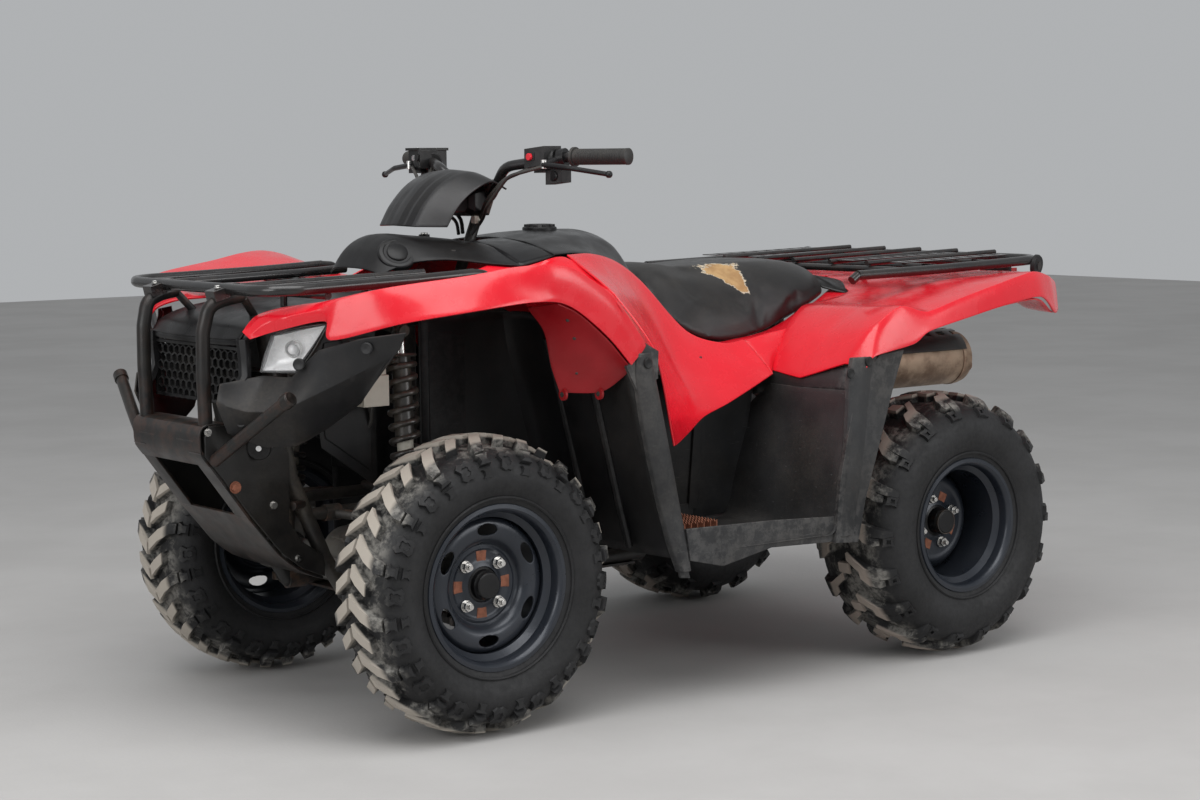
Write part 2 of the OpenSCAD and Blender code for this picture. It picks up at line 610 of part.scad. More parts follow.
// ---- racks ----
post_r = rt - 4;
front_rack_loop = body_pts([[-86, 288, 899], [60, 293, 892], [330, 300, 884], [372, 276, 883],
    [388, 235, 882], [388, 0, 882]]);
rear_rack_side = body_pts([[-1080, 372, 862], [-1640, 392, 879], [-1679, 350, 880], [-1679, 0, 880]]);
// Cross bars carry the racks on posts from the frame; the tubes above rest on them and are
// welded there, a hair apart here.
front_cross_z = [868.7, 874.7];
// Height of the rear rack's side tube at x, where its cross bars run into it.
function rear_cross_z(x) = 862 + (-1080 - x) * 17 / 560;
cross_r = rt - 3;
module cross_bar(x, z, half_y, grow = 0) {
    bar(body_pt([x, -half_y, z]), body_pt([x, half_y, z]), cross_r + grow);
}
module rack_posts(grow = 0) {
    both_sides() {
        bar(body_pt([250, rail_y, 800]), body_pt([250, rail_y, front_cross_z[0]]), post_r + grow);
        bar(body_pt([60, rail_y, 800]), body_pt([60, rail_y, front_cross_z[1]]), post_r + grow);
        for (x = [-1350, -1520])
            bar(body_pt([x, rail_y, 712]), body_pt([x, rail_y, rear_cross_z(x)]), post_r + grow);
    }
}
module front_rack() color("DarkSlateGray") {
    both_sides() {
        tube(front_rack_loop, rt);
        tube(body_pts([[388, 130, 882], [250, 134, 886], [60, 140, 892], [-60, 150, 897]]), rt - 2);
    }
    difference() {
        union() {
            cross_bar(250, front_cross_z[0], 281);
            cross_bar(60, front_cross_z[1], 276);
            both_sides() {
                bar(body_pt([250, rail_y, 800]), body_pt([250, rail_y, front_cross_z[0]]), post_r);
                bar(body_pt([60, rail_y, 800]), body_pt([60, rail_y, front_cross_z[1]]), post_r);
            }
        }
        both_sides() rails_cut();
    }
}
module rear_rack() color("DarkSlateGray") {
    difference() {
        union() {
            both_sides() {
                tube(rear_rack_side, rt);
                for (x = [-1350, -1520])
                    bar(body_pt([x, rail_y, 712]), body_pt([x, rail_y, rear_cross_z(x)]), post_r);
            }
            for (x = [-1240, -1350, -1520]) cross_bar(x, rear_cross_z(x), 372 + (-1080 - x) * 20 / 560);
        }
        both_sides() rails_cut();
    }
    lift = cross_r + rt - 5 + 0.3;
    for (y = [-250, -125, 0, 125, 250])
        bar(body_pt([-1230, y, rear_cross_z(-1230) + lift]),
            body_pt([-1664, y, rear_cross_z(-1664) + lift]), rt - 5);
}

module exhaust_pipe() color("Sienna") difference() {
    tube(body_pts([[-690, 90, 560], [-800, 160, 608], [-1182, 190.8, 640.9]]), 19);
    translate([bx(-1172) - 30, by(130), bz(580)]) cube([30, 120, 120]);
    translate([bx(-690) - fit, -125, bz(250)]) cube([bx(-405) - bx(-690), 250 + fit, 390]);
}
muffler_r = 66;
module muffler() color("Sienna") {
    difference() {
        union() {
            bar(body_pt([-1195, 192, 640]), body_pt([-1590, 192, 640]), muffler_r);
            translate(body_pt([-1195, 192, 640]))
                rotate([0, 90, 0])
                    cylinder(h = 22, r1 = muffler_r, r2 = 40);
            bar(body_pt([-1580, 192, 622]), body_pt([-1628, 192, 618]), 17);
            bar(body_pt([-1450, 170, 690]), body_pt([-1450, rail_y, 712]), 9);
        }
        bar(body_pt([-1590, 192, 622]), body_pt([-1640, 192, 617]), 13);
        bar(body_pt([-1172 - fit, 190, 640]), body_pt([-1100, 190, 640]), 60);
        both_sides() rails_cut();
    }
}
module tail_lights() color("DarkRed") difference() {
    both_sides() {
        translate(body_pt([-1684, 215, 812])) cube([26, 92, 46]);
        bar(body_pt([-1672, 260, 850]), body_pt([-1676, 260, 880]), 7);
    }
    both_sides() bar(body_pt([-1679, 350, 880]), body_pt([-1679, 0, 880]), rt + fit);
}
module radiator() color("DimGray")
    translate([bx(236), -rail_y + ft + fit, bz(520)])
        cube([40, 2 * (rail_y - ft - fit), 190]);
module coolant_tank() color("WhiteSmoke") difference() {
    union() {
        translate(body_pt([78, 176, 640])) cube([60, 50, 80]);
        bar(body_pt([108, 200, 715]), body_pt([108, 200, 738]), 14);
        bar(body_pt([110, 180, 700]), body_pt([110, rail_y, 797]), 6);
    }
    both_sides() rails_cut();
    both_sides() side_plate(body_pts([[75, 0, 470], [205, 0, 560], [225, 0, 700], [205, 0, 792],
        [75, 0, 802]]), by(170) - fit, 3 + 2 * fit);
}

// ---- steering ----
module steering_column() color("Gray") {
    difference() {
        union() {
            bar(on_column(bz(380)), bar_clamp, column_r);
            bar(bar_clamp - 26 * up_axis, bar_clamp + 14 * up_axis, 24);
            bar(pitman_root - 9 * up_axis, pitman_root + 9 * up_axis, 22);
            bar(pitman_root, pitman_end + 8 * back_axis, 9);
            bar(pitman_end + [0, -pitman_half, 0], pitman_end + [0, pitman_half, 0], 9);
            for (s = [-1, 1])
                bar(pitman_end + [0, s * pitman_half, 0] - 26 * up_axis,
                    pitman_end + [0, s * pitman_half, 0], 5);
        }
        both_sides() bars(bar_line, bar_d / 2 + fit);
    }
}
br = bar_d / 2;
bar_half = bar_w / 2;
bar_line = [bar_clamp, bar_clamp + [6, 42, 8], [bx(-290), by(122), bz(1112)],
    [bx(-352), bar_half - 140, bz(1131)], [bx(-398), bar_half, bz(1131)]];
module handlebar() color("DimGray") both_sides() tube(bar_line, br);
module grips() color("DarkSlateGray") both_sides() difference() {
    bar(between(bar_line[3], bar_line[4], 0.1), bar_line[4] + unit(bar_line[4] - bar_line[3]) * 4, 17);
    bar(bar_line[3], bar_line[4], br + fit);
}
module controls() color("DimGray") difference() {
    both_sides() {
        bar(between(bar_line[2], bar_line[3], 0.55), between(bar_line[2], bar_line[3], 0.8), 22);
        translate(between(bar_line[2], bar_line[3], 0.68) + [14, -14, 8]) cube([44, 28, 22]);
        bar(between(bar_line[2], bar_line[3], 0.86), between(bar_line[2], bar_line[3], 0.96), 20);
        bar(perch[0], perch[1], 7);
    }
    both_sides() bars(bar_line, br + fit);
}
perch = [between(bar_line[2], bar_line[3], 0.91), between(bar_line[2], bar_line[3], 0.91) + [52, 2, -14]];
module brake_levers() color("Gray") both_sides() difference() {
    tube([perch[1], bar_line[3] + [50, 60, -22], bar_line[4] + [60, 14, -36]], 5);
    bar(perch[0], perch[1], 7 + fit);
}
module handlebar_cover() color("DarkSlateGray") difference() {
    union() {
        panel(whole(cowl_net), side = -1);
        for (s = [-1, 1]) bar([bx(-262), s * by(72), bz(1088)], [bx(-296), s * by(72), bz(1070)], 9);
    }
    both_sides() bars(bar_line, br + fit);
    bar(bar_clamp - 60 * up_axis, bar_clamp + 14 * up_axis, 30);
}
module tie_rod(s) {
    inner = pitman_end + [0, s * pitman_half, 0] - 17 * up_axis;
    outer = [knuckle_pin.x, s * knuckle_pin.y, knuckle_pin.z];
    difference() {
        union() {
            bar(inner, outer, 7);
            bar(inner - 7 * up_axis, inner + 7 * up_axis, 11);
            translate(outer - [0, 0, 7]) cylinder(h = 14, r = 17);
        }
        bar(inner - 20 * up_axis, inner + 20 * up_axis, 5 + fit);
        translate(outer - [0, 0, 20]) cylinder(h = 40, r = 12.5);
    }
}
module tie_rod_left() color("Gray") tie_rod(1);
module tie_rod_right() color("Gray") tie_rod(-1);

// ---- knuckles and wheels ----
hub_bore = 14 + fit;
module knuckle(s) {
    translate([front_x, s * kingpin_y, 0]) {
        translate([0, 0, lower_ball_z + 9]) cylinder(h = upper_ball_z - lower_ball_z - 18, r = 16);
        translate([0, 0, lower_ball_z - 9]) cylinder(h = upper_ball_z - lower_ball_z + 18, r = 8);
    }
    bar([front_x, s * kingpin_y, axle_z], [front_x, s * (wheel_y + 14), axle_z], 14);
    bar([front_x, s * kingpin_y, axle_z], [front_x, s * (kingpin_y + 22), axle_z], 20);
    bar([front_x, s * kingpin_y, knuckle_pin.z + 22], [knuckle_pin.x, s * knuckle_pin.y,
        knuckle_pin.z + 22], 9);
    translate([knuckle_pin.x, s * knuckle_pin.y, knuckle_pin.z - 10]) cylinder(h = 32, r = 5);
}
module knuckle_left() color("Gray") knuckle(1);
module knuckle_right() color("Gray") knuckle(-1);

// A wheel is drawn about the Z axis, its outer face towards +Z, and then laid on its axle.
module wheel_at(x, y) {
    translate([x, y, axle_z])
        rotate([-90, 0, 0])
            if (y > 0) children();
            else rotate([180, 0, 0]) children();
}
module rim(bead, wide, disc, hub_r, slots) {
    w = wide / 2;
    r = bead / 2;
    rotate_extrude($fn = 64)
        polygon([[r + 14, -w - 6], [r + 14, -w], [r, -w], [r, -w + 22], [r - 13, -w + 32],
            [r - 13, w - 32], [r, w - 22], [r, w], [r + 14, w], [r + 14, w + 6], [r - 4, w + 6],
            [r - 4, w - 20], [r - 17, w - 30], [r - 17, -w + 30], [r - 4, -w + 20], [r - 4, -w - 6]]);
    difference() {
        translate([0, 0, disc]) cylinder(h = 5, r = r - 15);
        for (k = [1:1:slots]) rotate(k * 360 / slots) translate([r * 0.72, 0, disc - 2]) rotate(90)
            linear_extrude(10) scale([1.7, 1]) circle(r = r * 0.075);
        translate([0, 0, disc - 5]) cylinder(h = 20, r = hub_r - 4);
    }
}
module tyre(bead, wide, across) {
    b = bead / 2 + fit;
    w = wide / 2;
    c = across / 2;
    rotate_extrude($fn = 96)
        polygon([[b, w - fit - 2], [b + 4, w - fit], [b + 22, w - 1], [b + 42, c - 4], [b + 72, c],
            [b + 104, c - 3], [tyre_r - 22, c - 8], [tyre_r - 7, c - 30], [tyre_r, c * 0.4],
            [tyre_r, -c * 0.4], [tyre_r - 7, -c + 30], [tyre_r - 22, -c + 8], [b + 104, -c + 3],
            [b + 72, -c], [b + 42, -c + 4], [b + 22, -w + 1], [b + 4, -w + fit], [b, -w + fit + 2],
            [b, -w + 16], [b + 12, -w + 17], [b + 44, -c + 16], [b + 72, -c + 12],
            [tyre_r - 32, -c + 22], [tyre_r - 20, -c + 42], [tyre_r - 15, 0], [tyre_r - 20, c - 42],
            [tyre_r - 32, c - 22], [b + 72, c - 12], [b + 44, c - 16], [b + 12, w - 17],
            [b, w - 16]]);
}
module front_rim() {
    rim(front_rim_d, 152, 18, 46, 6);
    difference() {
        union() {
            translate([0, 0, -32]) cylinder(h = 66, r = 50);
            translate([0, 0, 30]) cylinder(h = 24, r = 31);
            for (a = [45:90:315]) rotate(a) translate([40.5, 0, 30]) cylinder(h = 12, r = 9, $fn = 6);
        }
        translate([0, 0, -40]) cylinder(h = 57, r = hub_bore);
    }
}
module front_left_rim() color("SteelBlue") wheel_at(front_x, wheel_y) front_rim();
module front_right_rim() color("SteelBlue") wheel_at(front_x, -wheel_y) front_rim();
module front_left_tyre() color("DimGray") wheel_at(front_x, wheel_y) tyre(front_rim_d, 152, front_tyre_w);
module front_right_tyre() color("DimGray")
    wheel_at(front_x, -wheel_y) tyre(front_rim_d, 152, front_tyre_w);
rear_disc = -2;
module rear_axle() color("Gray") {
    bar([rear_x, -rear_y + 12, axle_z], [rear_x, rear_y - 12, axle_z], 18);
    for (s = [-1, 1]) {
        bar([rear_x, s * (rear_y + rear_disc - 22), axle_z], [rear_x, s * (rear_y + rear_disc - fit), axle_z],
            66);
        bar([rear_x, s * (rear_y - 12), axle_z], [rear_x, s * (rear_y + rear_disc + 42), axle_z], 28);
    }
}
module rear_rim() {
    rim(rear_rim_d, 203, rear_disc, 52, 0);
    difference() {
        union() {
            translate([0, 0, rear_disc]) cylinder(h = 6, r = 54);
            for (a = [45:90:315]) rotate(a) translate([41, 0, rear_disc + 5]) cylinder(h = 11, r = 9, $fn = 6);
        }
        translate([0, 0, rear_disc - 5]) cylinder(h = 40, r = 28 + fit);
    }
}
module rear_rims() color("SteelBlue") for (s = [-1, 1]) wheel_at(rear_x, s * rear_y) rear_rim();
module rear_tyres() color("DimGray")
    for (s = [-1, 1]) wheel_at(rear_x, s * rear_y) tyre(rear_rim_d, 203, rear_tyre_w);

frame();
engine();
skid_plate();
front_differential();
front_guard();
front_arms();
shock_absorbers();
springs();
rear_swingarm();
front_fascia();
grille();
headlights();
front_fenders();
front_side_guards();
front_inner_guards();
footwells();
footpegs();
side_covers();
tank_cover();
fuel_cap();
steering_pod();
seat();
rear_fenders();
front_rack();
rear_rack();
exhaust_pipe();
muffler();
tail_lights();
radiator();
coolant_tank();
steering_column();
handlebar();
handlebar_cover();
grips();
controls();
brake_levers();
tie_rod_left();
tie_rod_right();
knuckle_left();
knuckle_right();
front_left_rim();
front_left_tyre();
front_right_rim();
front_right_tyre();
rear_axle();
rear_rims();
rear_tyres();
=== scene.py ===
"""Looks for a utility quad bike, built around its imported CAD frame.

Lengths in the shape functions are millimetres on the bike's own grid: x forward from the front
axle, y to the rider's left, z up from the ground. at() turns a grid point into metres.
"""
import math

import bpy
import numpy as np
from mathutils import Matrix, Vector


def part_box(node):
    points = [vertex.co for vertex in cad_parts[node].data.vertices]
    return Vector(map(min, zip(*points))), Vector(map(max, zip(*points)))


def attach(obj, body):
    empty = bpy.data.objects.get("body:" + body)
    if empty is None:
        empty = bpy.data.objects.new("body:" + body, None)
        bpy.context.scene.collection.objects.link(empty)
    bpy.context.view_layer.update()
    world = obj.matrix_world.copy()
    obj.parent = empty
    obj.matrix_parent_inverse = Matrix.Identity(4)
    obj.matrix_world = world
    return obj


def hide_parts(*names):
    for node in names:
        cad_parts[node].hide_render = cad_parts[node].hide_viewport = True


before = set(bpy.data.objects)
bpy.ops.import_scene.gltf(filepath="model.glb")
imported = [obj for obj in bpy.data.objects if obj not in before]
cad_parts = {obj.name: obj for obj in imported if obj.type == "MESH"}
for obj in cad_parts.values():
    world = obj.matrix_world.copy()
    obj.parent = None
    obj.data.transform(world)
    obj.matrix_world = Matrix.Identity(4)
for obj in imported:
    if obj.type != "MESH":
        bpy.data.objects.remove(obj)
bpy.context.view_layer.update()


def middle(node):
    low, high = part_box(node)
    return (low + high) / 2


FRONT_X = middle("front_left_tyre").x
REAR_X = middle("rear_tyres").x
AXLE_Z = middle("rear_tyres").z
FRONT_Y = middle("front_left_tyre").y
REAR_HALF_WIDTH = 0.127
REAR_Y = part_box("rear_tyres")[1].y - REAR_HALF_WIDTH
HUB_Z = 297


def at(x, y, z):
    return Vector((FRONT_X + x / 1000, y / 1000, z / 1000))


def spread(points):
    return [at(*p) for p in points]


# ---------------------------------------------------------------- shader groups
def group(name, inputs, outputs):
    made = bpy.data.node_groups.new(name, "ShaderNodeTree")
    for label, value in inputs:
        kind = "NodeSocketColor" if hasattr(value, "__len__") else "NodeSocketFloat"
        socket = made.interface.new_socket(label, in_out="INPUT", socket_type=kind)
        socket.default_value = value
    for label, kind in outputs:
        made.interface.new_socket(label, in_out="OUTPUT", socket_type=kind)
    return made, made.nodes.new("NodeGroupInput"), made.nodes.new("NodeGroupOutput")


def node(tree, kind, **values):
    made = tree.nodes.new(kind)
    for name, value in values.items():
        setattr(made, name, value)
    return made


def noise(tree, vector, scale, detail=4.0, rough=0.55):
    made = node(tree, "ShaderNodeTexNoise")
    made.inputs["Detail"].default_value = detail
    made.inputs["Roughness"].default_value = rough
    feed(tree, scale, made.inputs["Scale"])
    feed(tree, vector, made.inputs["Vector"])
    return made.outputs["Fac"]


def feed(tree, value, socket):
    if isinstance(value, bpy.types.NodeSocket):
        tree.links.new(value, socket)
    elif value is not None:
        socket.default_value = value


def calc(tree, kind, a, b=None, clamp=False):
    made = node(tree, "ShaderNodeMath", operation=kind, use_clamp=clamp)
    feed(tree, a, made.inputs[0])
    feed(tree, b, made.inputs[1])
    return made.outputs[0]


def between(tree, value, low, high, out_low=0.0, out_high=1.0):
    """value carried from low..high to out_low..out_high, smoothly."""
    made = node(tree, "ShaderNodeMapRange", interpolation_type="SMOOTHSTEP")
    for socket, v in zip(made.inputs, (value, low, high, out_low, out_high)):
        feed(tree, v, socket)
    return made.outputs[0]


def blend_colour(tree, factor, a, b):
    made = node(tree, "ShaderNodeMix", data_type="RGBA")
    feed(tree, factor, made.inputs["Factor"])
    feed(tree, a, made.inputs[6])
    feed(tree, b, made.inputs[7])
    return made.outputs[2]


def roughened(tree, face, height, strength, distance):
    """Tilts a surface's Normal by a height, through a Bump node."""
    bump = node(tree, "ShaderNodeBump")
    bump.inputs["Strength"].default_value = strength
    bump.inputs["Distance"].default_value = distance
    tree.links.new(height, bump.inputs["Height"])
    tree.links.new(bump.outputs["Normal"], face.inputs["Normal"])


def apart(tree, vector):
    """The outputs X, Y and Z of a vector."""
    made = node(tree, "ShaderNodeSeparateXYZ")
    tree.links.new(vector, made.inputs[0])
    return made.outputs


def object_space(tree, stretch=None):
    space = node(tree, "ShaderNodeTexCoord").outputs["Object"]
    if stretch is None:
        return space
    mapping = node(tree, "ShaderNodeMapping")
    mapping.inputs["Scale"].default_value = stretch
    tree.links.new(space, mapping.inputs["Vector"])
    return mapping.outputs["Vector"]


def make_groups():
    """Dust that settles on what faces up, worn edges, scratches, patchy colour and grain."""
    tree, given, out = group("settled_dust",
                             [("Amount", 0.5), ("Scale", 5.0), ("Settle", 0.5)],
                             [("Mask", "NodeSocketFloat")])
    space = object_space(tree)
    cloud = noise(tree, space, given.outputs["Scale"], 7.0, 0.62)
    fine = noise(tree, space, 160.0, 3.0)
    up = apart(tree, node(tree, "ShaderNodeNewGeometry").outputs["Normal"])["Z"]
    rising = calc(tree, "MULTIPLY", calc(tree, "MAXIMUM", up, 0.0), given.outputs["Settle"])
    body = calc(tree, "ADD", between(tree, cloud, 0.38, 0.72), rising)
    speck = calc(tree, "MULTIPLY", body, between(tree, fine, 0.25, 0.75, 0.5, 1.0))
    tree.links.new(calc(tree, "MULTIPLY", speck, given.outputs["Amount"], True), out.inputs["Mask"])

    tree, given, out = group("worn_edges", [("Amount", 0.5), ("Scale", 40.0)],
                             [("Mask", "NodeSocketFloat")])
    point = node(tree, "ShaderNodeNewGeometry").outputs["Pointiness"]
    patchy = noise(tree, object_space(tree), given.outputs["Scale"], 6.0, 0.7)
    edge = between(tree, point, 0.515, 0.58)
    mask = calc(tree, "MULTIPLY", edge, between(tree, patchy, 0.42, 0.6))
    tree.links.new(calc(tree, "MULTIPLY", mask, given.outputs["Amount"], True), out.inputs["Mask"])

    tree, given, out = group("fine_scratches", [("Amount", 0.3), ("Scale", 30.0)],
                             [("Mask", "NodeSocketFloat")])
    one = noise(tree, object_space(tree, (0.35, 2.0, 7.0)), given.outputs["Scale"], 5.0, 0.75)
    two = noise(tree, object_space(tree, (3.0, 6.0, 0.5)), given.outputs["Scale"], 5.0, 0.75)
    line = calc(tree, "MAXIMUM", between(tree, one, 0.63, 0.7), between(tree, two, 0.65, 0.72))
    tree.links.new(calc(tree, "MULTIPLY", line, given.outputs["Amount"], True), out.inputs["Mask"])

    tree, given, out = group("patchy_colour",
                             [("First", (0.1, 0.1, 0.1, 1)), ("Second", (0.2, 0.2, 0.2, 1)),
                              ("Scale", 6.0)], [("Color", "NodeSocketColor")])
    patch = noise(tree, object_space(tree), given.outputs["Scale"], 8.0, 0.6)
    mixed = blend_colour(tree, between(tree, patch, 0.35, 0.65),
                         given.outputs["First"], given.outputs["Second"])
    tree.links.new(mixed, out.inputs["Color"])

    tree, given, out = group("moulded_grain", [("Scale", 600.0), ("Depth", 1.0)],
                             [("Height", "NodeSocketFloat")])
    space = object_space(tree)
    cells = node(tree, "ShaderNodeTexVoronoi", feature="SMOOTH_F1")
    feed(tree, given.outputs["Scale"], cells.inputs["Scale"])
    tree.links.new(space, cells.inputs["Vector"])
    rough = noise(tree, space, given.outputs["Scale"], 3.0)
    both = calc(tree, "ADD", cells.outputs["Distance"], rough)
    tree.links.new(calc(tree, "MULTIPLY", both, given.outputs["Depth"]), out.inputs["Height"])


def placed(tree, name, **values):
    made = node(tree, "ShaderNodeGroup", node_tree=bpy.data.node_groups[name])
    for label, value in values.items():
        feed(tree, value, made.inputs[label.capitalize()])
    return made.outputs[0]


def shader(name):
    made = bpy.data.materials.new(name)
    made.use_nodes = True
    tree = made.node_tree
    return made, tree, tree.nodes["Principled BSDF"]


def rgb(*values):
    return (*values, 1.0)


DUST = rgb(0.30, 0.25, 0.19)
GRAIN_DEPTH = 0.0006


def finish(name, first, second, rough, metallic=0.0, coat=0.0, coat_rough=0.1, patch=6.0,
           grain=(700.0, 0.0), dust=0.0, settle=0.5, wear=0.0, wear_colour=DUST, wear_scale=40.0,
           scratch=0.0, scratch_colour=rgb(0.4, 0.4, 0.4), specular=0.5, dust_colour=DUST):
    """A moulded, painted or cast surface: patchy colour, then scratches, worn edges and dust."""
    made, tree, face = shader(name)
    colour = placed(tree, "patchy_colour", first=first, second=second, scale=patch)
    if scratch:
        marks = placed(tree, "fine_scratches", amount=scratch)
        colour = blend_colour(tree, marks, colour, scratch_colour)
    if wear:
        rubbed = placed(tree, "worn_edges", amount=wear, scale=wear_scale)
        colour = blend_colour(tree, rubbed, colour, wear_colour)
    film = placed(tree, "settled_dust", amount=dust, settle=settle)
    colour = blend_colour(tree, film, colour, dust_colour)
    tree.links.new(colour, face.inputs["Base Color"])
    spots = noise(tree, object_space(tree), 22.0, 6.0)
    shine = between(tree, spots, 0.3, 0.7, max(rough - 0.07, 0.03), rough + 0.07)
    tree.links.new(calc(tree, "ADD", shine, calc(tree, "MULTIPLY", film, 0.5), True),
                   face.inputs["Roughness"])
    fineness, strength = grain
    height = placed(tree, "moulded_grain", scale=fineness, depth=1.0)
    roughened(tree, face, height, strength, GRAIN_DEPTH)
    face.inputs["Metallic"].default_value = metallic
    face.inputs["Coat Weight"].default_value = coat
    face.inputs["Coat Roughness"].default_value = coat_rough
    face.inputs["Specular IOR Level"].default_value = specular
    return made


def tyre_rubber(name, worn_from, worn_to, pale):
    """Dark rubber that turns pale on the tops of its lugs; radius is taken from the wheel's own axle."""
    made, tree, face = shader(name)
    space = object_space(tree)
    spot = apart(tree, space)
    square = calc(tree, "ADD", calc(tree, "POWER", spot["X"], 2.0), calc(tree, "POWER", spot["Z"], 2.0))
    radius = calc(tree, "SQRT", square)
    smear = noise(tree, space, 14.0, 8.0, 0.7)
    fine = noise(tree, space, 90.0, 5.0, 0.6)
    base = placed(tree, "patchy_colour", first=rgb(0.0105, 0.0105, 0.011),
                  second=rgb(0.018, 0.018, 0.019), scale=9.0)
    groove = calc(tree, "MULTIPLY", between(tree, radius, worn_from - 0.027, worn_from - 0.010),
                  between(tree, smear, 0.44, 0.56))
    scuffed = calc(tree, "MULTIPLY", groove, between(tree, fine, 0.35, 0.6, 0.25, 0.9))
    colour = blend_colour(tree, scuffed, base, rgb(0.23, 0.22, 0.20))
    top = calc(tree, "MULTIPLY", between(tree, radius, worn_from, worn_to),
               between(tree, smear, 0.25, 0.36, 0.55, 1.0))
    colour = blend_colour(tree, top, colour, pale)
    tree.links.new(colour, face.inputs["Base Color"])
    tree.links.new(between(tree, fine, 0.3, 0.7, 0.52, 0.72), face.inputs["Roughness"])
    roughened(tree, face, placed(tree, "moulded_grain", scale=260.0, depth=1.0), 0.25, 0.0008)
    face.inputs["Specular IOR Level"].default_value = 0.35
    return made


def clear_lens(name, tint):
    made, tree, face = shader(name)
    film = placed(tree, "settled_dust", amount=0.25, settle=0.1, scale=12.0)
    tree.links.new(blend_colour(tree, film, tint, rgb(0.6, 0.58, 0.52)), face.inputs["Base Color"])
    tree.links.new(between(tree, film, 0.0, 1.0, 0.03, 0.4), face.inputs["Roughness"])
    tree.links.new(between(tree, film, 0.0, 1.0, 0.12, 0.45), face.inputs["Alpha"])
    return made


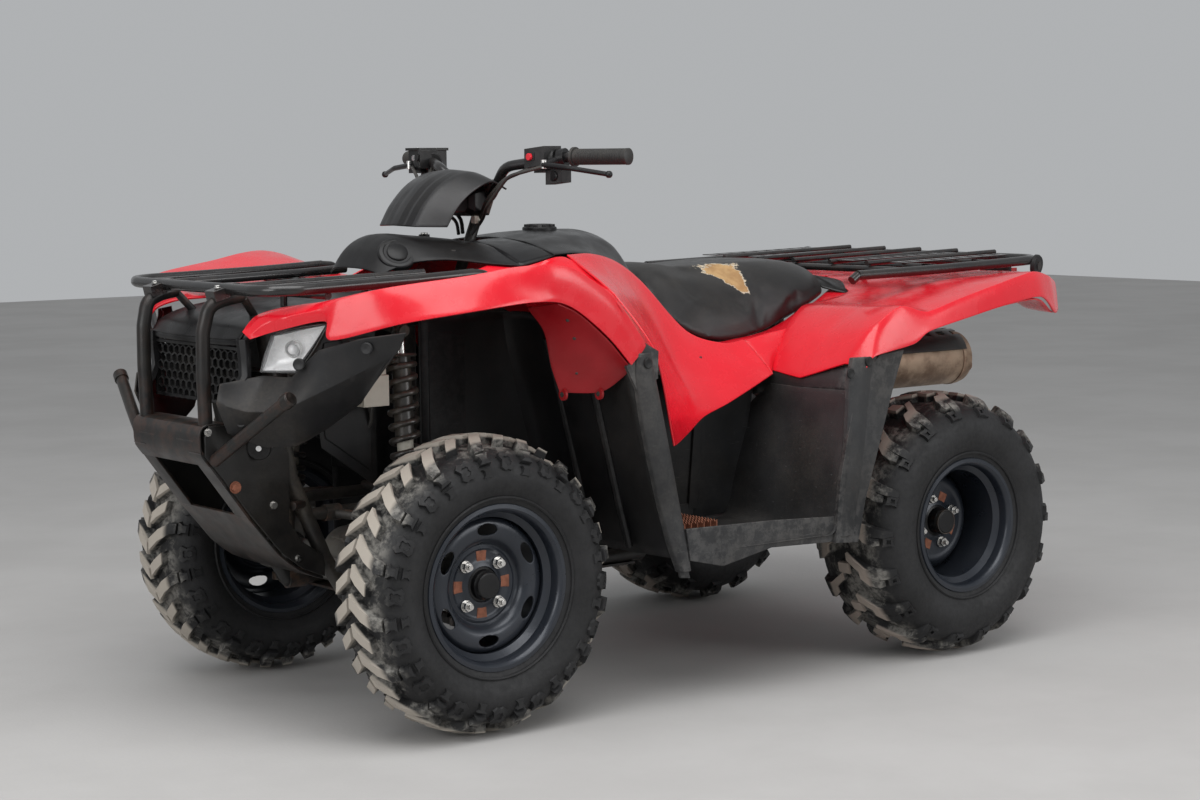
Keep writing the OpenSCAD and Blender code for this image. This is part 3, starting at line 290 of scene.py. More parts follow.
def make_finishes():
    grey = rgb(0.24, 0.24, 0.24)
    return {
        "red": finish("gloss_red_plastic", rgb(0.66, 0.003, 0.014), rgb(0.74, 0.006, 0.020), 0.26,
                      coat=0.25, coat_rough=0.12, patch=3.0, grain=(420.0, 0.05), dust=0.02,
                      settle=0.25, scratch=0.08, scratch_colour=rgb(0.85, 0.22, 0.24), wear=0.12,
                      wear_colour=rgb(0.80, 0.18, 0.20), dust_colour=rgb(0.75, 0.20, 0.20)),
        # Darker copy of the gloss red with painted shade, for the downward-facing fender inner lips and
        # tabs; its scratches and worn edges are real wear.
        "shade_painted_red": finish("painted_shade_red_plastic", rgb(0.27, 0.002, 0.006), rgb(0.33, 0.004, 0.010), 0.42,
                            patch=9.0, grain=(420.0, 0.1), dust=0.03, settle=0.2, wear=0.25,
                            wear_colour=rgb(0.16, 0.03, 0.03), scratch=0.10,
                            scratch_colour=rgb(0.5, 0.16, 0.16), specular=0.35),
        "black": finish("textured_black_plastic", rgb(0.0055, 0.0055, 0.006), rgb(0.010, 0.010, 0.011),
                        0.42, grain=(520.0, 0.22), dust=0.03, settle=0.3, scratch=0.05, specular=0.3,
                        scratch_colour=grey, wear=0.10, wear_colour=rgb(0.09, 0.09, 0.09)),
        "splashed": finish("mud_splashed_plastic", rgb(0.008, 0.008, 0.009), rgb(0.016, 0.016, 0.017),
                           0.42, grain=(520.0, 0.22), dust=0.10, settle=0.2, scratch=0.09, specular=0.3,
                           scratch_colour=grey, wear=0.26, wear_colour=rgb(0.12, 0.09, 0.065)),
        "faded": finish("faded_footwell_plastic", rgb(0.013, 0.0135, 0.0145), rgb(0.030, 0.0305, 0.032),
                        0.50, patch=4.0, grain=(520.0, 0.28), dust=0.07, settle=0.5, scratch=0.22,
                        scratch_colour=grey, wear=0.4, wear_colour=rgb(0.14, 0.135, 0.13), specular=0.3),
        "satin": finish("satin_cover_plastic", rgb(0.0055, 0.0055, 0.006), rgb(0.009, 0.009, 0.010),
                        0.33, grain=(620.0, 0.12), dust=0.02, settle=0.3, scratch=0.05,
                        scratch_colour=grey, specular=0.32),
        "stripe": finish("light_stripe_plastic", rgb(0.017, 0.0175, 0.019), rgb(0.027, 0.0275, 0.029),
                         0.36, grain=(620.0, 0.12), dust=0.02, specular=0.32),
        "rack": finish("rack_black_enamel", rgb(0.006, 0.006, 0.007), rgb(0.011, 0.011, 0.012), 0.27,
                       coat=0.3, coat_rough=0.15, grain=(260.0, 0.05), dust=0.04, settle=0.3,
                       wear=0.07, wear_colour=rgb(0.14, 0.07, 0.04), wear_scale=70.0),
        "guard": finish("guard_black_enamel", rgb(0.0055, 0.0055, 0.006), rgb(0.011, 0.0105, 0.010),
                        0.36, patch=9.0, grain=(300.0, 0.14), dust=0.05, settle=0.3, wear=0.16,
                        wear_colour=rgb(0.17, 0.065, 0.035), wear_scale=34.0, scratch=0.08, specular=0.38,
                        scratch_colour=rgb(0.13, 0.10, 0.08)),
        "steel": finish("chassis_black_steel", rgb(0.009, 0.009, 0.009), rgb(0.022, 0.020, 0.018),
                        0.48, patch=14.0, grain=(300.0, 0.2), dust=0.24, settle=0.3, wear=0.3,
                        wear_colour=rgb(0.15, 0.065, 0.035)),
        "rim": finish("blue_black_wheel_enamel", rgb(0.016, 0.020, 0.028), rgb(0.023, 0.028, 0.038),
                      0.33, metallic=0.35, grain=(500.0, 0.08), dust=0.02, settle=0.0,
                      scratch=0.05, scratch_colour=rgb(0.2, 0.2, 0.2), coat=0.2, coat_rough=0.2),
        "rust": finish("bare_rusty_steel", rgb(0.17, 0.055, 0.028), rgb(0.28, 0.10, 0.055), 0.8,
                       patch=60.0, grain=(500.0, 0.4), dust=0.1),
        "zinc": finish("bright_zinc", rgb(0.55, 0.54, 0.52), rgb(0.70, 0.69, 0.67), 0.25,
                       metallic=1.0, patch=60.0, grain=(500.0, 0.05), dust=0.1),
        "alloy": finish("dull_cast_alloy", rgb(0.20, 0.20, 0.195), rgb(0.33, 0.32, 0.30), 0.5,
                        metallic=0.55, patch=12.0, grain=(420.0, 0.3), dust=0.5, settle=0.3),
        "muffler": finish("heat_browned_steel", rgb(0.16, 0.10, 0.065), rgb(0.42, 0.31, 0.22), 0.5,
                          metallic=0.6, patch=16.0, grain=(240.0, 0.25), dust=0.35, wear=0.5,
                          wear_colour=rgb(0.28, 0.10, 0.05), scratch=0.2,
                          scratch_colour=rgb(0.55, 0.47, 0.38)),
        "rubber": finish("hose_and_grip_rubber", rgb(0.012, 0.012, 0.012), rgb(0.024, 0.024, 0.024),
                         0.5, grain=(600.0, 0.2), dust=0.12, settle=0.3),
        "tank": finish("milky_tank_plastic", rgb(0.48, 0.45, 0.38), rgb(0.62, 0.59, 0.51), 0.4,
                       patch=10.0, grain=(300.0, 0.1), dust=0.25),
        "mirror": finish("lamp_reflector", rgb(0.90, 0.90, 0.90), rgb(0.97, 0.97, 0.97), 0.28,
                         metallic=0.15, patch=20.0, grain=(120.0, 0.1), dust=0.05, settle=0.1),
        "button": finish("stop_button_red", rgb(0.60, 0.008, 0.02), rgb(0.70, 0.015, 0.03), 0.3,
                         grain=(500.0, 0.1), coat=0.3),
        "lamp_red": finish("tail_lens_red", rgb(0.30, 0.005, 0.008), rgb(0.42, 0.01, 0.012), 0.12,
                           patch=40.0, grain=(200.0, 0.3), coat=0.8, dust=0.05),
        "spring": finish("spring_black_enamel", rgb(0.010, 0.010, 0.011), rgb(0.020, 0.020, 0.020),
                         0.3, coat=0.3, grain=(300.0, 0.1), dust=0.35, settle=0.4),
        "core": finish("grimy_core_fins", rgb(0.020, 0.020, 0.020), rgb(0.05, 0.048, 0.043), 0.6,
                       metallic=0.3, grain=(300.0, 0.4), dust=0.4),
        "front_rubber": tyre_rubber("front_tyre_rubber", 0.2855, 0.2905, rgb(0.40, 0.36, 0.31)),
        "rear_rubber": tyre_rubber("rear_tyre_rubber", 0.2875, 0.2925, rgb(0.33, 0.28, 0.24)),
        "lens": clear_lens("clear_lamp_lens", rgb(0.97, 0.98, 1.0)),
    }


# ---------------------------------------------------------------- mesh building
SOFTENED_ANGLE = math.radians(38)


def modifier(made, name, kind, **values):
    added = made.modifiers.new(name, kind)
    for label, value in values.items():
        setattr(added, label, value)
    return added


def net_faces(n, m, turned=False):
    """Quads over n rows of m points, wound the other way when turned."""
    quads = [[i * m + j, i * m + j + 1, (i + 1) * m + j + 1, (i + 1) * m + j]
             for i in range(n - 1) for j in range(m - 1)]
    return [f[:1] + f[:0:-1] for f in quads] if turned else quads


class Shape:
    """Collects closed solids and shells in metres, then becomes one piece."""

    def __init__(self):
        self.points = []
        self.faces = []
        self.marks = []

    def add(self, points, faces, mark=0):
        start = len(self.points)
        self.points += [Vector(p) for p in points]
        self.faces += [[start + i for i in f] for f in faces]
        self.marks += [mark] * len(faces)

    def loft(self, rings, mark=0):
        """Skins a list of rings that have the same number of points, and closes both ends."""
        n = len(rings[0])
        faces = []
        for i in range(len(rings) - 1):
            for j in range(n):
                k = (j + 1) % n
                faces.append([i * n + j, i * n + k, (i + 1) * n + k, (i + 1) * n + j])
        faces.append(list(range(n))[::-1])
        faces.append([(len(rings) - 1) * n + j for j in range(n)])
        self.add([p for ring in rings for p in ring], faces, mark)

    def tube(self, points, r, bend=0.0, sides=14, mark=0, end_r=None):
        """A round tube along points in metres; its corners are rounded to the bend radius."""
        path = rounded(points, bend)
        if end_r:
            radii = [r + (end_r - r) * i / (len(path) - 1) for i in range(len(path))]
        else:
            radii = [r] * len(path)
        self.loft(rings_along(path, radii, sides), mark)

    def rod(self, a, b, r, sides=16, mark=0):
        self.loft(rings_along([Vector(a), Vector(b)], [r, r], sides), mark)

    def lathe(self, profile, centre, axis=(0, 1, 0), sides=72, mark=0):
        """Turns a closed profile of (radius, along) pairs about an axis through centre."""
        axis = Vector(axis).normalized()
        one = axis.orthogonal().normalized()
        two = axis.cross(one)
        rings = []
        for i in range(sides):
            a = 2 * math.pi * i / sides
            way = one * math.cos(a) + two * math.sin(a)
            rings.append([Vector(centre) + way * r + axis * h for r, h in profile])
        n = len(profile)
        faces = []
        for i in range(sides):
            k = (i + 1) % sides
            for j in range(n):
                m = (j + 1) % n
                faces.append([i * n + j, k * n + j, k * n + m, i * n + m])
        self.add([p for ring in rings for p in ring], faces, mark)

    def prism(self, outline, way, mark=0):
        """Extrudes a flat outline of points along the vector way."""
        n = len(outline)
        way = Vector(way)
        points = [Vector(p) for p in outline]
        faces = [list(range(n))[::-1], [n + i for i in range(n)]]
        faces += [[i, (i + 1) % n, n + (i + 1) % n, n + i] for i in range(n)]
        self.add(points + [p + way for p in points], faces, mark)

    def block(self, centre, size, turn=None, mark=0):
        turn = turn or Matrix.Identity(3)
        corners = [Vector((x, y, z)) for x in (-0.5, 0.5) for y in (-0.5, 0.5) for z in (-0.5, 0.5)]
        placed_at = [Vector(centre) + turn @ Vector(c * s for c, s in zip(p, size)) for p in corners]
        self.add(placed_at, [[0, 1, 3, 2], [4, 6, 7, 5], [0, 4, 5, 1], [2, 3, 7, 6], [0, 2, 6, 4],
                             [1, 5, 7, 3]], mark)

    def bolt(self, place, way, r=0.006, mark=0):
        """A washer and a hexagon head that stands on a surface at place, facing way."""
        way = Vector(way).normalized()
        self.rod(place, Vector(place) + way * r * 0.25, r * 1.35, 20, mark)
        self.rod(Vector(place) + way * r * 0.25, Vector(place) + way * r * 1.0, r, 6, mark)

    def ball(self, centre, r, mark=0, sides=16):
        rings = []
        for i in range(1, sides // 2):
            a = math.pi * i / (sides // 2)
            z = math.cos(a) * r
            rings.append([Vector(centre) + Vector((math.cos(t) * math.sin(a) * r,
                          math.sin(t) * math.sin(a) * r, z))
                          for t in [2 * math.pi * k / sides for k in range(sides)]])
        self.loft(rings, mark)

    def mirror(self):
        """Adds the same again on the bike's other side."""
        n = len(self.points)
        self.points += [Vector((p.x, -p.y, p.z)) for p in self.points[:n]]
        self.faces += [[n + i for i in reversed(f)] for f in self.faces]
        self.marks += list(self.marks)
        return self

    def piece(self, name, looks, replaces=(), slot=None, body="chassis", edge=0.0, sharp=32.0,
              origin=None, smooth_steps=0, thick=0.0):
        mesh = bpy.data.meshes.new(name)
        shift = Vector(origin) if origin is not None else Vector()
        mesh.from_pydata([p - shift for p in self.points], [], self.faces)
        mesh.validate()
        for look in looks:
            mesh.materials.append(look)
        mesh.polygons.foreach_set("material_index", np.array(self.marks[:len(mesh.polygons)], np.int32))
        mesh.update()
        made = bpy.data.objects.new(name, mesh)
        made.location = shift
        bpy.context.scene.collection.objects.link(made)
        if thick:
            modifier(made, "wall", "SOLIDIFY", thickness=thick, offset=-1.0)
        if edge:
            modifier(made, "soft_edges", "BEVEL", width=edge, segments=2, limit_method="ANGLE",
                     angle_limit=SOFTENED_ANGLE, harden_normals=False)
        if smooth_steps:
            modifier(made, "rounder", "SUBSURF", levels=smooth_steps, render_levels=smooth_steps)
        mesh.shade_smooth()
        if not smooth_steps:
            mesh.set_sharp_from_angle(angle=math.radians(sharp))
        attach(made, body)
        if replaces:
            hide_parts(*replaces)
        return made


def rounded(points, bend):
    """The path with each inner corner replaced by an arc of about the bend radius."""
    points = [Vector(p) for p in points]
    if bend <= 0 or len(points) < 3:
        return points
    path = [points[0]]
    for a, b, c in zip(points, points[1:], points[2:]):
        back = (a - b).normalized()
        ahead = (c - b).normalized()
        turn = math.pi - back.angle(ahead)
        if turn < 0.03:
            path.append(b)
            continue
        cut = min(bend * math.tan(turn / 2), (a - b).length * 0.48, (c - b).length * 0.48)
        start = b + back * cut
        end = b + ahead * cut
        steps = max(2, int(turn / 0.2))
        for k in range(steps + 1):
            t = k / steps
            path.append(start * (1 - t) ** 2 + b * 2 * t * (1 - t) + end * t ** 2)
    path.append(points[-1])
    return path


def rings_along(path, radii, sides):
    """Round sections square to a path, turned as little as possible from one to the next."""
    ahead = (path[1] - path[0]).normalized()
    side = ahead.orthogonal().normalized()
    rings = []
    for i, p in enumerate(path):
        before = (path[i] - path[max(i - 1, 0)]).normalized() if i else ahead
        after = (path[min(i + 1, len(path) - 1)] - path[i]).normalized() if i < len(path) - 1 else before
        mean = (before + after).normalized()
        side = (side - mean * side.dot(mean)).normalized()
        up = mean.cross(side)
        half = before.angle(after) / 2 if 0 < i < len(path) - 1 else 0.0
        wide = 1 / max(math.cos(half), 0.5)
        bent = after - before
        bent = bent - mean * bent.dot(mean)
        ring = []
        for k in range(sides):
            a = 2 * math.pi * k / sides
            way = side * math.cos(a) + up * math.sin(a)
            if half > 0.02 and bent.length > 1e-6:
                b = bent.normalized()
                way = way + b * way.dot(b) * (wide - 1)
            ring.append(p + way * radii[i])
        rings.append(ring)
    return rings


def curve_point(a, b, c, d, t):
    """The point at t from 0 to 1 between b and c on a smooth curve through a, b, c and d."""
    return 0.5 * ((2 * b) + (c - a) * t + (2 * a - 5 * b + 4 * c - d) * t * t
                  + (3 * b - a - 3 * c + d) * t ** 3)


def finer_row(row, fine, crisp):
    """A row of points made finer on a smooth curve; crisp from 0 to 1 pulls it to straight lines."""
    out = []
    for i in range(len(row) - 1):
        a = row[i - 1] if i else row[0] * 2 - row[1]
        d = row[i + 2] if i + 2 < len(row) else row[i + 1] * 2 - row[i]
        for k in range(fine):
            t = k / fine
            smooth = curve_point(a, row[i], row[i + 1], d, t)
            out.append(smooth.lerp(row[i].lerp(row[i + 1], t), crisp))
    return out + [row[-1]]


def finer_net(net, along, across, crisp=0.0, crisp_along=None):
    """A net of points made finer both ways; crisp works as in finer_row."""
    crisp_along = crisp * 0.5 if crisp_along is None else crisp_along
    rows = [finer_row([Vector(p) for p in row], across, crisp) for row in net]
    columns = [finer_row([row[j] for row in rows], along, crisp_along) for j in range(len(rows[0]))]
    return [[columns[j][i] for j in range(len(columns))] for i in range(len(columns[0]))]


def whole(net):
    """A half net mirrored across the bike's middle."""
    return [[(x, -y, z) for x, y, z in reversed(row[1:])] + list(row) for row in net]


def panel(net, along=6, across=6, crisp=0.0, shape=None, crisp_along=None):
    """A skin over a net whose rows run rearwards and whose columns run outwards or downwards."""
    shape = shape or Shape()
    fine = finer_net([spread(row) for row in net], along, across, crisp, crisp_along)
    shape.add([p for row in fine for p in row], [f[::-1] for f in net_faces(len(fine), len(fine[0]))])
    return shape


def flat_plate(outline, y, thick, shape):
    """A plate with an (x, z) outline on the grid, from y to y + thick."""
    shape.prism([at(x, y, z) for x, z in outline], (0, thick / 1000, 0))


def slab(shape, corners, thick):
    """A plate under four (x, y, z) corners on the grid."""
    shape.add(spread(corners) + [at(x, y, z - thick) for x, y, z in corners],
              [[0, 1, 2, 3], [7, 6, 5, 4], [0, 4, 5, 1], [1, 5, 6, 2], [2, 6, 7, 3], [3, 7, 4, 0]])


# ---------------------------------------------------------------- body panels
FENDER_NET = [
    [(390, 196, 800), (388, 204, 796), (386, 210, 792), (384, 215, 788)],
    [(362, 200, 828), (366, 230, 829), (362, 250, 822), (350, 262, 806)],
    [(318, 205, 840), (316, 282, 850), (308, 336, 846), (297, 350, 826)],
    [(284, 203, 843), (282, 300, 854), (278, 388, 868), (300, 370, 790)],
    [(228, 200, 846), (226, 325, 856), (222, 445, 886), (212, 474, 821)],
    [(75, 198, 862), (75, 345, 872), (67, 498, 905), (90, 528, 840)],
    [(-15, 198, 866), (-15, 350, 880), (-15, 518, 918), (-35, 543, 853)],
    [(-86, 198, 870), (-86, 352, 884), (-86, 543, 922), (-105, 548, 851)],
    [(-139, 205, 868), (-142, 352, 880), (-146, 546, 909), (-156, 549, 828)],
    [(-205, 240, 850), (-222, 350, 838), (-240, 546, 852), (-226, 549, 775)],
    [(-262, 300, 800), (-290, 380, 770), (-322, 543, 757), (-280, 549, 720)]]
COVER_NET = [
    [(-352, 250, 925), (-356, 400, 850), (-384, 500, 733), (-448, 478, 538)],
    [(-430, 232, 925), (-435, 330, 840), (-452, 415, 720), (-484, 452, 540)],
    [(-520, 202, 905), (-520, 270, 820), (-530, 340, 700), (-560, 398, 552)],
    [(-600, 192, 858), (-605, 235, 780), (-615, 285, 680), (-640, 353, 574)],
    [(-700, 222, 748), (-705, 245, 715), (-715, 285, 650), (-725, 333, 594)],
    [(-800, 232, 716), (-803, 255, 690), (-810, 295, 655), (-815, 323, 626)],
    [(-862, 232, 720), (-864, 260, 700), (-866, 295, 672), (-868, 320, 648)]]
REAR_NET = [
    [(-888, 292, 656), (-880, 400, 645), (-900, 520, 682), (-916, 568.4, 676)],
    [(-965, 262, 741), (-955, 400, 735), (-958, 545, 757), (-942, 567.5, 700)],
    [(-1040, 232, 785), (-1040, 400, 788), (-1032, 552, 800), (-1056, 568.4, 720)],
    [(-1110, 214, 792), (-1110, 400, 795), (-1110, 557, 785), (-1105, 568.4, 745)],
    [(-1212, 208, 812), (-1212, 400, 815), (-1212, 558, 809), (-1222, 567, 768)],
    [(-1341, 2, 836), (-1341, 380, 838), (-1341, 555, 837), (-1350, 562, 790)],
    [(-1481, 2, 842), (-1481, 380, 846), (-1485, 528, 858), (-1498, 542, 803)],
    [(-1590, 2, 846), (-1590, 380, 850), (-1570, 500, 845), (-1572, 518, 762)],
    [(-1645, 2, 840), (-1650, 370, 842), (-1636, 462, 828), (-1618, 488, 766)]]
SIDE_GUARD_NET = [
    [(428, 168, 702), (434, 166, 665), (410, 164, 606)],
    [(352, 200, 714), (395, 214, 650), (352, 206, 578)],
    [(322, 264, 714), (352, 270, 652), (300, 238, 580)],
    [(304, 334, 770), (305, 332, 690), (246, 266, 614)],
    [(264, 425, 796), (248, 402, 735), (205, 320, 664)],
    [(214, 496, 808), (215, 478, 778), (226, 450, 744)]]
FASCIA_NET = [
    [(394, 0, 782), (392, 100, 782), (386, 178, 784)],
    [(370, 0, 812), (368, 100, 811), (362, 180, 808)],
    [(300, 0, 832), (300, 100, 831), (300, 182, 828)],
    [(170, 0, 850), (170, 100, 849), (170, 184, 846)],
    [(30, 0, 862), (30, 100, 861), (30, 186, 858)]]
TANK_NET = [
    [(-332, 0, 957), (-331, 130, 950), (-330, 236, 926)],
    [(-400, 0, 967), (-402, 130, 956), (-405, 224, 926)],
    [(-500, 0, 970), (-502, 105, 957), (-505, 190, 910)],
    [(-590, 0, 963), (-592, 95, 936), (-594, 168, 862)],
    [(-648, 0, 915), (-642, 82, 888), (-634, 148, 826)]]
POD_NET = [
    [(20, 0, 905), (18, 60, 902), (8, 96, 892)],
    [(-10, 0, 945), (-12, 70, 938), (-18, 108, 905)],
    [(-50, 0, 970), (-52, 72, 960), (-55, 112, 915)],
    [(-120, 0, 966), (-120, 80, 957), (-120, 150, 920)],
    [(-200, 0, 958), (-200, 100, 950), (-200, 196, 910)],
    [(-250, 0, 950), (-252, 110, 944), (-254, 226, 905)]]
COWL_NET = [
    [(-88, 0, 990), (-98, 64, 988), (-150, 108, 987)],
    [(-120, 0, 1037), (-128, 65, 1034), (-175, 110, 1026)],
    [(-168, 0, 1082), (-176, 66, 1077), (-212, 112, 1058)],
    [(-232, 0, 1103), (-238, 67, 1098), (-262, 110, 1078)],
    [(-300, 0, 1082), (-300, 64, 1078), (-305, 104, 1062)]]
FOOTWELL_NET = [
    [(-268, 205, 738), (-270, 380, 738), (-292, 545, 738)],
    [(-300, 200, 660), (-300, 380, 660), (-306, 546, 662)],
    [(-342, 195, 520), (-342, 380, 520), (-346, 548, 520)],
    [(-384, 190, 385), (-384, 380, 385), (-386, 550, 385)],
    [(-424, 190, 332), (-424, 380, 331), (-426, 553, 330)],
    [(-500, 190, 324), (-500, 380, 324), (-500, 555, 324)],
    [(-640, 190, 324), (-640, 380, 324), (-640, 558, 324)],
    [(-770, 190, 324), (-770, 380, 324), (-770, 560, 324)],
    [(-826, 190, 336), (-828, 380, 334), (-830, 562, 332)],
    [(-846, 200, 440), (-846, 380, 440), (-850, 563, 440)],
    [(-872, 225, 560), (-872, 390, 560), (-878, 564, 560)],
    [(-884, 300, 628), (-884, 400, 626), (-894, 562, 628)]]
WALL = 0.004
SNAP = 16
PROUD = Vector((0.0, 0.7, 0.9))
FENDER_TO_COVER = [
    ((-86, 201, 873), (-190, 190, 909)), ((-139, 208, 871), (-254, 227, 905)),
    ((-205, 242, 853), (-334, 240, 924)), ((-214, 300, 846), (-352, 268, 915)),
    ((-222, 370, 842), (-354, 335, 882)), ((-230, 460, 848), (-356, 402, 848)),
    ((-240, 544, 853), (-368, 450, 790)), ((-284, 544, 800), (-382, 493, 742)),
    ((-320, 543, 759), (-392, 498, 705))]
COVER_TO_SEAT = [
    ((-598, 194, 858), (-602, 168, 850)), ((-640, 212, 806), (-644, 158, 808)),
    ((-700, 223, 749), (-704, 184, 752)), ((-740, 227, 734), (-744, 194, 736)),
    ((-800, 233, 717), (-800, 199, 718)), ((-862, 233, 721), (-862, 199, 722)),
    ((-910, 250, 728), (-918, 197, 728)), ((-964, 261, 741), (-975, 193, 738)),
    ((-1040, 233, 786), (-1046, 188, 762)), ((-1110, 215, 793), (-1120, 182, 790)),
    ((-1212, 209, 813), (-1205, 150, 818))]
COVER_TO_REAR = [
    ((-866, 321, 647), (-889, 293, 656)), ((-866, 296, 671), (-912, 283, 684)),
    ((-864, 262, 699), (-936, 272, 712)), ((-862, 236, 719), (-964, 261, 741))]


def mesh_points(net, along, across, crisp, crisp_along):
    rows = finer_net([[Vector(p) for p in row] for row in net], along, across, crisp, crisp_along)
    return [p for row in rows for p in row]


def laid_on(p, skin):
    """The skin's nearest point, just outside it, or p itself where the skin is far away."""
    p = Vector(p)
    near = min(skin, key=lambda q: (q - p).length_squared)
    return tuple(near + PROUD) if (near - p).length < SNAP else tuple(p)


def strip_between(pairs, rise, shape, skin, along=6, across=4):
    """A skin across a gap, from one edge to the other, its middle raised a little."""
    net = []
    for a, b in pairs:
        a, b = laid_on(a, skin), laid_on(b, skin)
        mid = [(u + v) / 2 for u, v in zip(a, b)]
        net.append([a, (mid[0], mid[1], mid[2] + rise), b])
    return panel(net, along, across, 0.1, shape, 0.1)


def make_bridges(looks):
    """Red skins that carry the fender into the side cover, and the cover up to the saddle."""
    shape = Shape()
    skin = (mesh_points(FENDER_NET, 8, 8, 0.82, 0.15) + mesh_points(COVER_NET, 8, 8, 0.45, 0.1)
            + mesh_points(REAR_NET, 8, 8, 0.85, 0.25))
    strip_between(FENDER_TO_COVER, 4, shape, skin)
    strip_between(COVER_TO_SEAT, 1, shape, skin)
    strip_between(COVER_TO_REAR, 2, shape, skin)
    shape.mirror().piece("red_bridge_skins", [looks["red"]], slot="red_plastic", thick=0.003, edge=0.0010)
    # Dark neck between the steering pod and the tank cover, open in the middle for the column.
    shape = Shape()
    panel([[(-244, 46, 951), (-246, 110, 944), (-248, 170, 927), (-250, 226, 905)],
           [(-290, 46, 955), (-291, 112, 949), (-292, 178, 935), (-294, 232, 915)],
           [(-334, 46, 957), (-334, 118, 951), (-333, 182, 940), (-332, 236, 925)]], 4, 4, 0.2, shape)
    shape.mirror().piece("tank_neck_skins", [looks["satin"]], thick=0.003)
    # Dark skirt from the tank cover's rear edge down under the saddle's nose.
    shape = panel(whole([[(-643, 0, 911), (-637, 82, 884), (-630, 146, 822)],
                         [(-668, 0, 878), (-664, 82, 860), (-654, 150, 810)],
                         [(-702, 0, 850), (-702, 90, 842), (-690, 164, 780)]]), 4, 4, 0.2)
    shape.piece("tank_skirt_skin", [looks["satin"]], thick=0.003)
    # Dark deck behind the saddle, above the frame.
    shape = panel(whole([[(-1172, 0, 856), (-1174, 90, 850), (-1176, 158, 822)],
                         [(-1212, 0, 850), (-1212, 110, 842), (-1212, 210, 808)],
                         [(-1280, 0, 842), (-1280, 90, 834), (-1280, 140, 820)],
                         [(-1345, 0, 831), (-1345, 30, 831), (-1345, 60, 832)]]), 4, 4, 0.2)
    shape.piece("tail_deck_skin", [looks["satin"]], thick=0.003)
    # Closing pieces over each footwell's back wall and behind the top of its front flare.
    shape = panel([[(-876, 250, 600), (-884, 310, 612), (-886, 400, 622), (-896, 552, 626)],
                   [(-878, 252, 640), (-887, 300, 645), (-885, 400, 640), (-904, 552, 660)],
                   [(-874, 260, 684), (-890, 294, 662), (-888, 400, 652), (-918, 552, 690)]], 3, 3, 0.2)
    flat_plate([(-274, 716), (-318, 760), (-352, 742), (-350, 690), (-300, 668)], 541, 4, shape)
    shape.mirror().piece("footwell_closers", [looks["faded"]], thick=0.003)
    # Underside pocket at the tail of each rear fender.
    shape = Shape()
    panel([[(-1350, 556, 792), (-1352, 470, 800), (-1352, 380, 812)],
           [(-1490, 540, 800), (-1490, 450, 806), (-1490, 380, 818)],
           [(-1568, 514, 766), (-1570, 440, 772), (-1570, 380, 796)],
           [(-1616, 486, 768), (-1622, 430, 772), (-1630, 372, 790)]], 5, 5, 0.4, shape)
    shape.mirror().piece("fender_tail_pockets", [looks["red"]], slot="red_plastic", thick=0.003)


def make_panels(looks):
    red, black, satin, faded = looks["red"], looks["black"], looks["satin"], looks["faded"]
    panel(FENDER_NET, 8, 8, 0.82, crisp_along=0.15).mirror().piece(
        "front_fender_skins", [red], ["front_fenders"], "red_plastic", thick=WALL, edge=0.0012)
    panel(COVER_NET, 8, 8, 0.45, crisp_along=0.1).mirror().piece(
        "side_cover_skins", [red], ["side_covers"], "red_plastic", thick=WALL, edge=0.0012)
    panel(REAR_NET, 8, 8, 0.85, crisp_along=0.25).mirror().piece(
        "rear_fender_skins", [red], ["rear_fenders"], "red_plastic", thick=WALL, edge=0.0012)
    make_bridges(looks)
    panel(SIDE_GUARD_NET, 6, 6, 0.95, crisp_along=0.75).mirror().piece(
        "side_guard_skins", [looks["splashed"]], ["front_side_guards"], thick=WALL, edge=0.0012)
    panel(whole(FASCIA_NET), 6, 6, 0.3).piece(
        "nose_hood", [satin], ["front_fascia"], thick=WALL, edge=0.0012)
    panel(whole(TANK_NET), 6, 6, 0.3).piece(
        "tank_top", [satin], ["tank_cover"], thick=WALL, edge=0.0012)
    panel(whole(POD_NET), 6, 6, 0.2).piece(
        "steering_cowl_base", [black], ["steering_pod"], thick=WALL, edge=0.0012)
    shape = panel(FOOTWELL_NET, 5, 5, 0.35)
    flat_plate([(-428, 312), (-517, 291), (-652, 315), (-832, 308), (-838, 362), (-652, 372), (-418, 378)],
               548, 8, shape)
    flat_plate([(-290, 738), (-307, 668), (-345, 524), (-378, 379), (-411, 277), (-436, 274),
                (-399, 397), (-379, 542), (-359, 644), (-334, 738)], 539, 7, shape)
    flat_plate([(-830, 308), (-844, 440), (-874, 567), (-890, 638), (-958, 700), (-1030, 708),
                (-995, 623), (-959, 517), (-914, 391), (-894, 303)], 556, 7, shape)
    shape.mirror().piece("footwell_shells", [faded], ["footwells"], thick=0.003, edge=0.0012)


# ---------------------------------------------------------------- wheels
def tyre_row(profile, u):
    """The carcass point (radius, across) and its outward normal at arc length u from the crown."""
    side = 1 if u >= 0 else -1
    left = abs(u)
    for (r0, z0), (r1, z1) in zip(profile, profile[1:]):
        step = math.hypot(r1 - r0, z1 - z0)
        if left <= step:
            t = left / step
            normal = Vector((z1 - z0, -(r1 - r0))).normalized()
            return r0 + (r1 - r0) * t, (z0 + (z1 - z0) * t) * side, normal.x, normal.y * side
        left -= step
    return profile[-1][0], profile[-1][1] * side, 0.0, side


def tread_point(profile, u, v, lift, top, half):
    """A point lifted off the carcass, held inside the tyre's outer radius and half width."""
    r, z, out_r, out_z = tyre_row(profile, u)
    r = min(r + out_r * lift, top - 0.15 * max(abs(z) - 30, 0))
    z = max(-half, min(half, z + out_z * lift))
    a = v / top
    return Vector((r * math.sin(a), z, r * math.cos(a))) / 1000


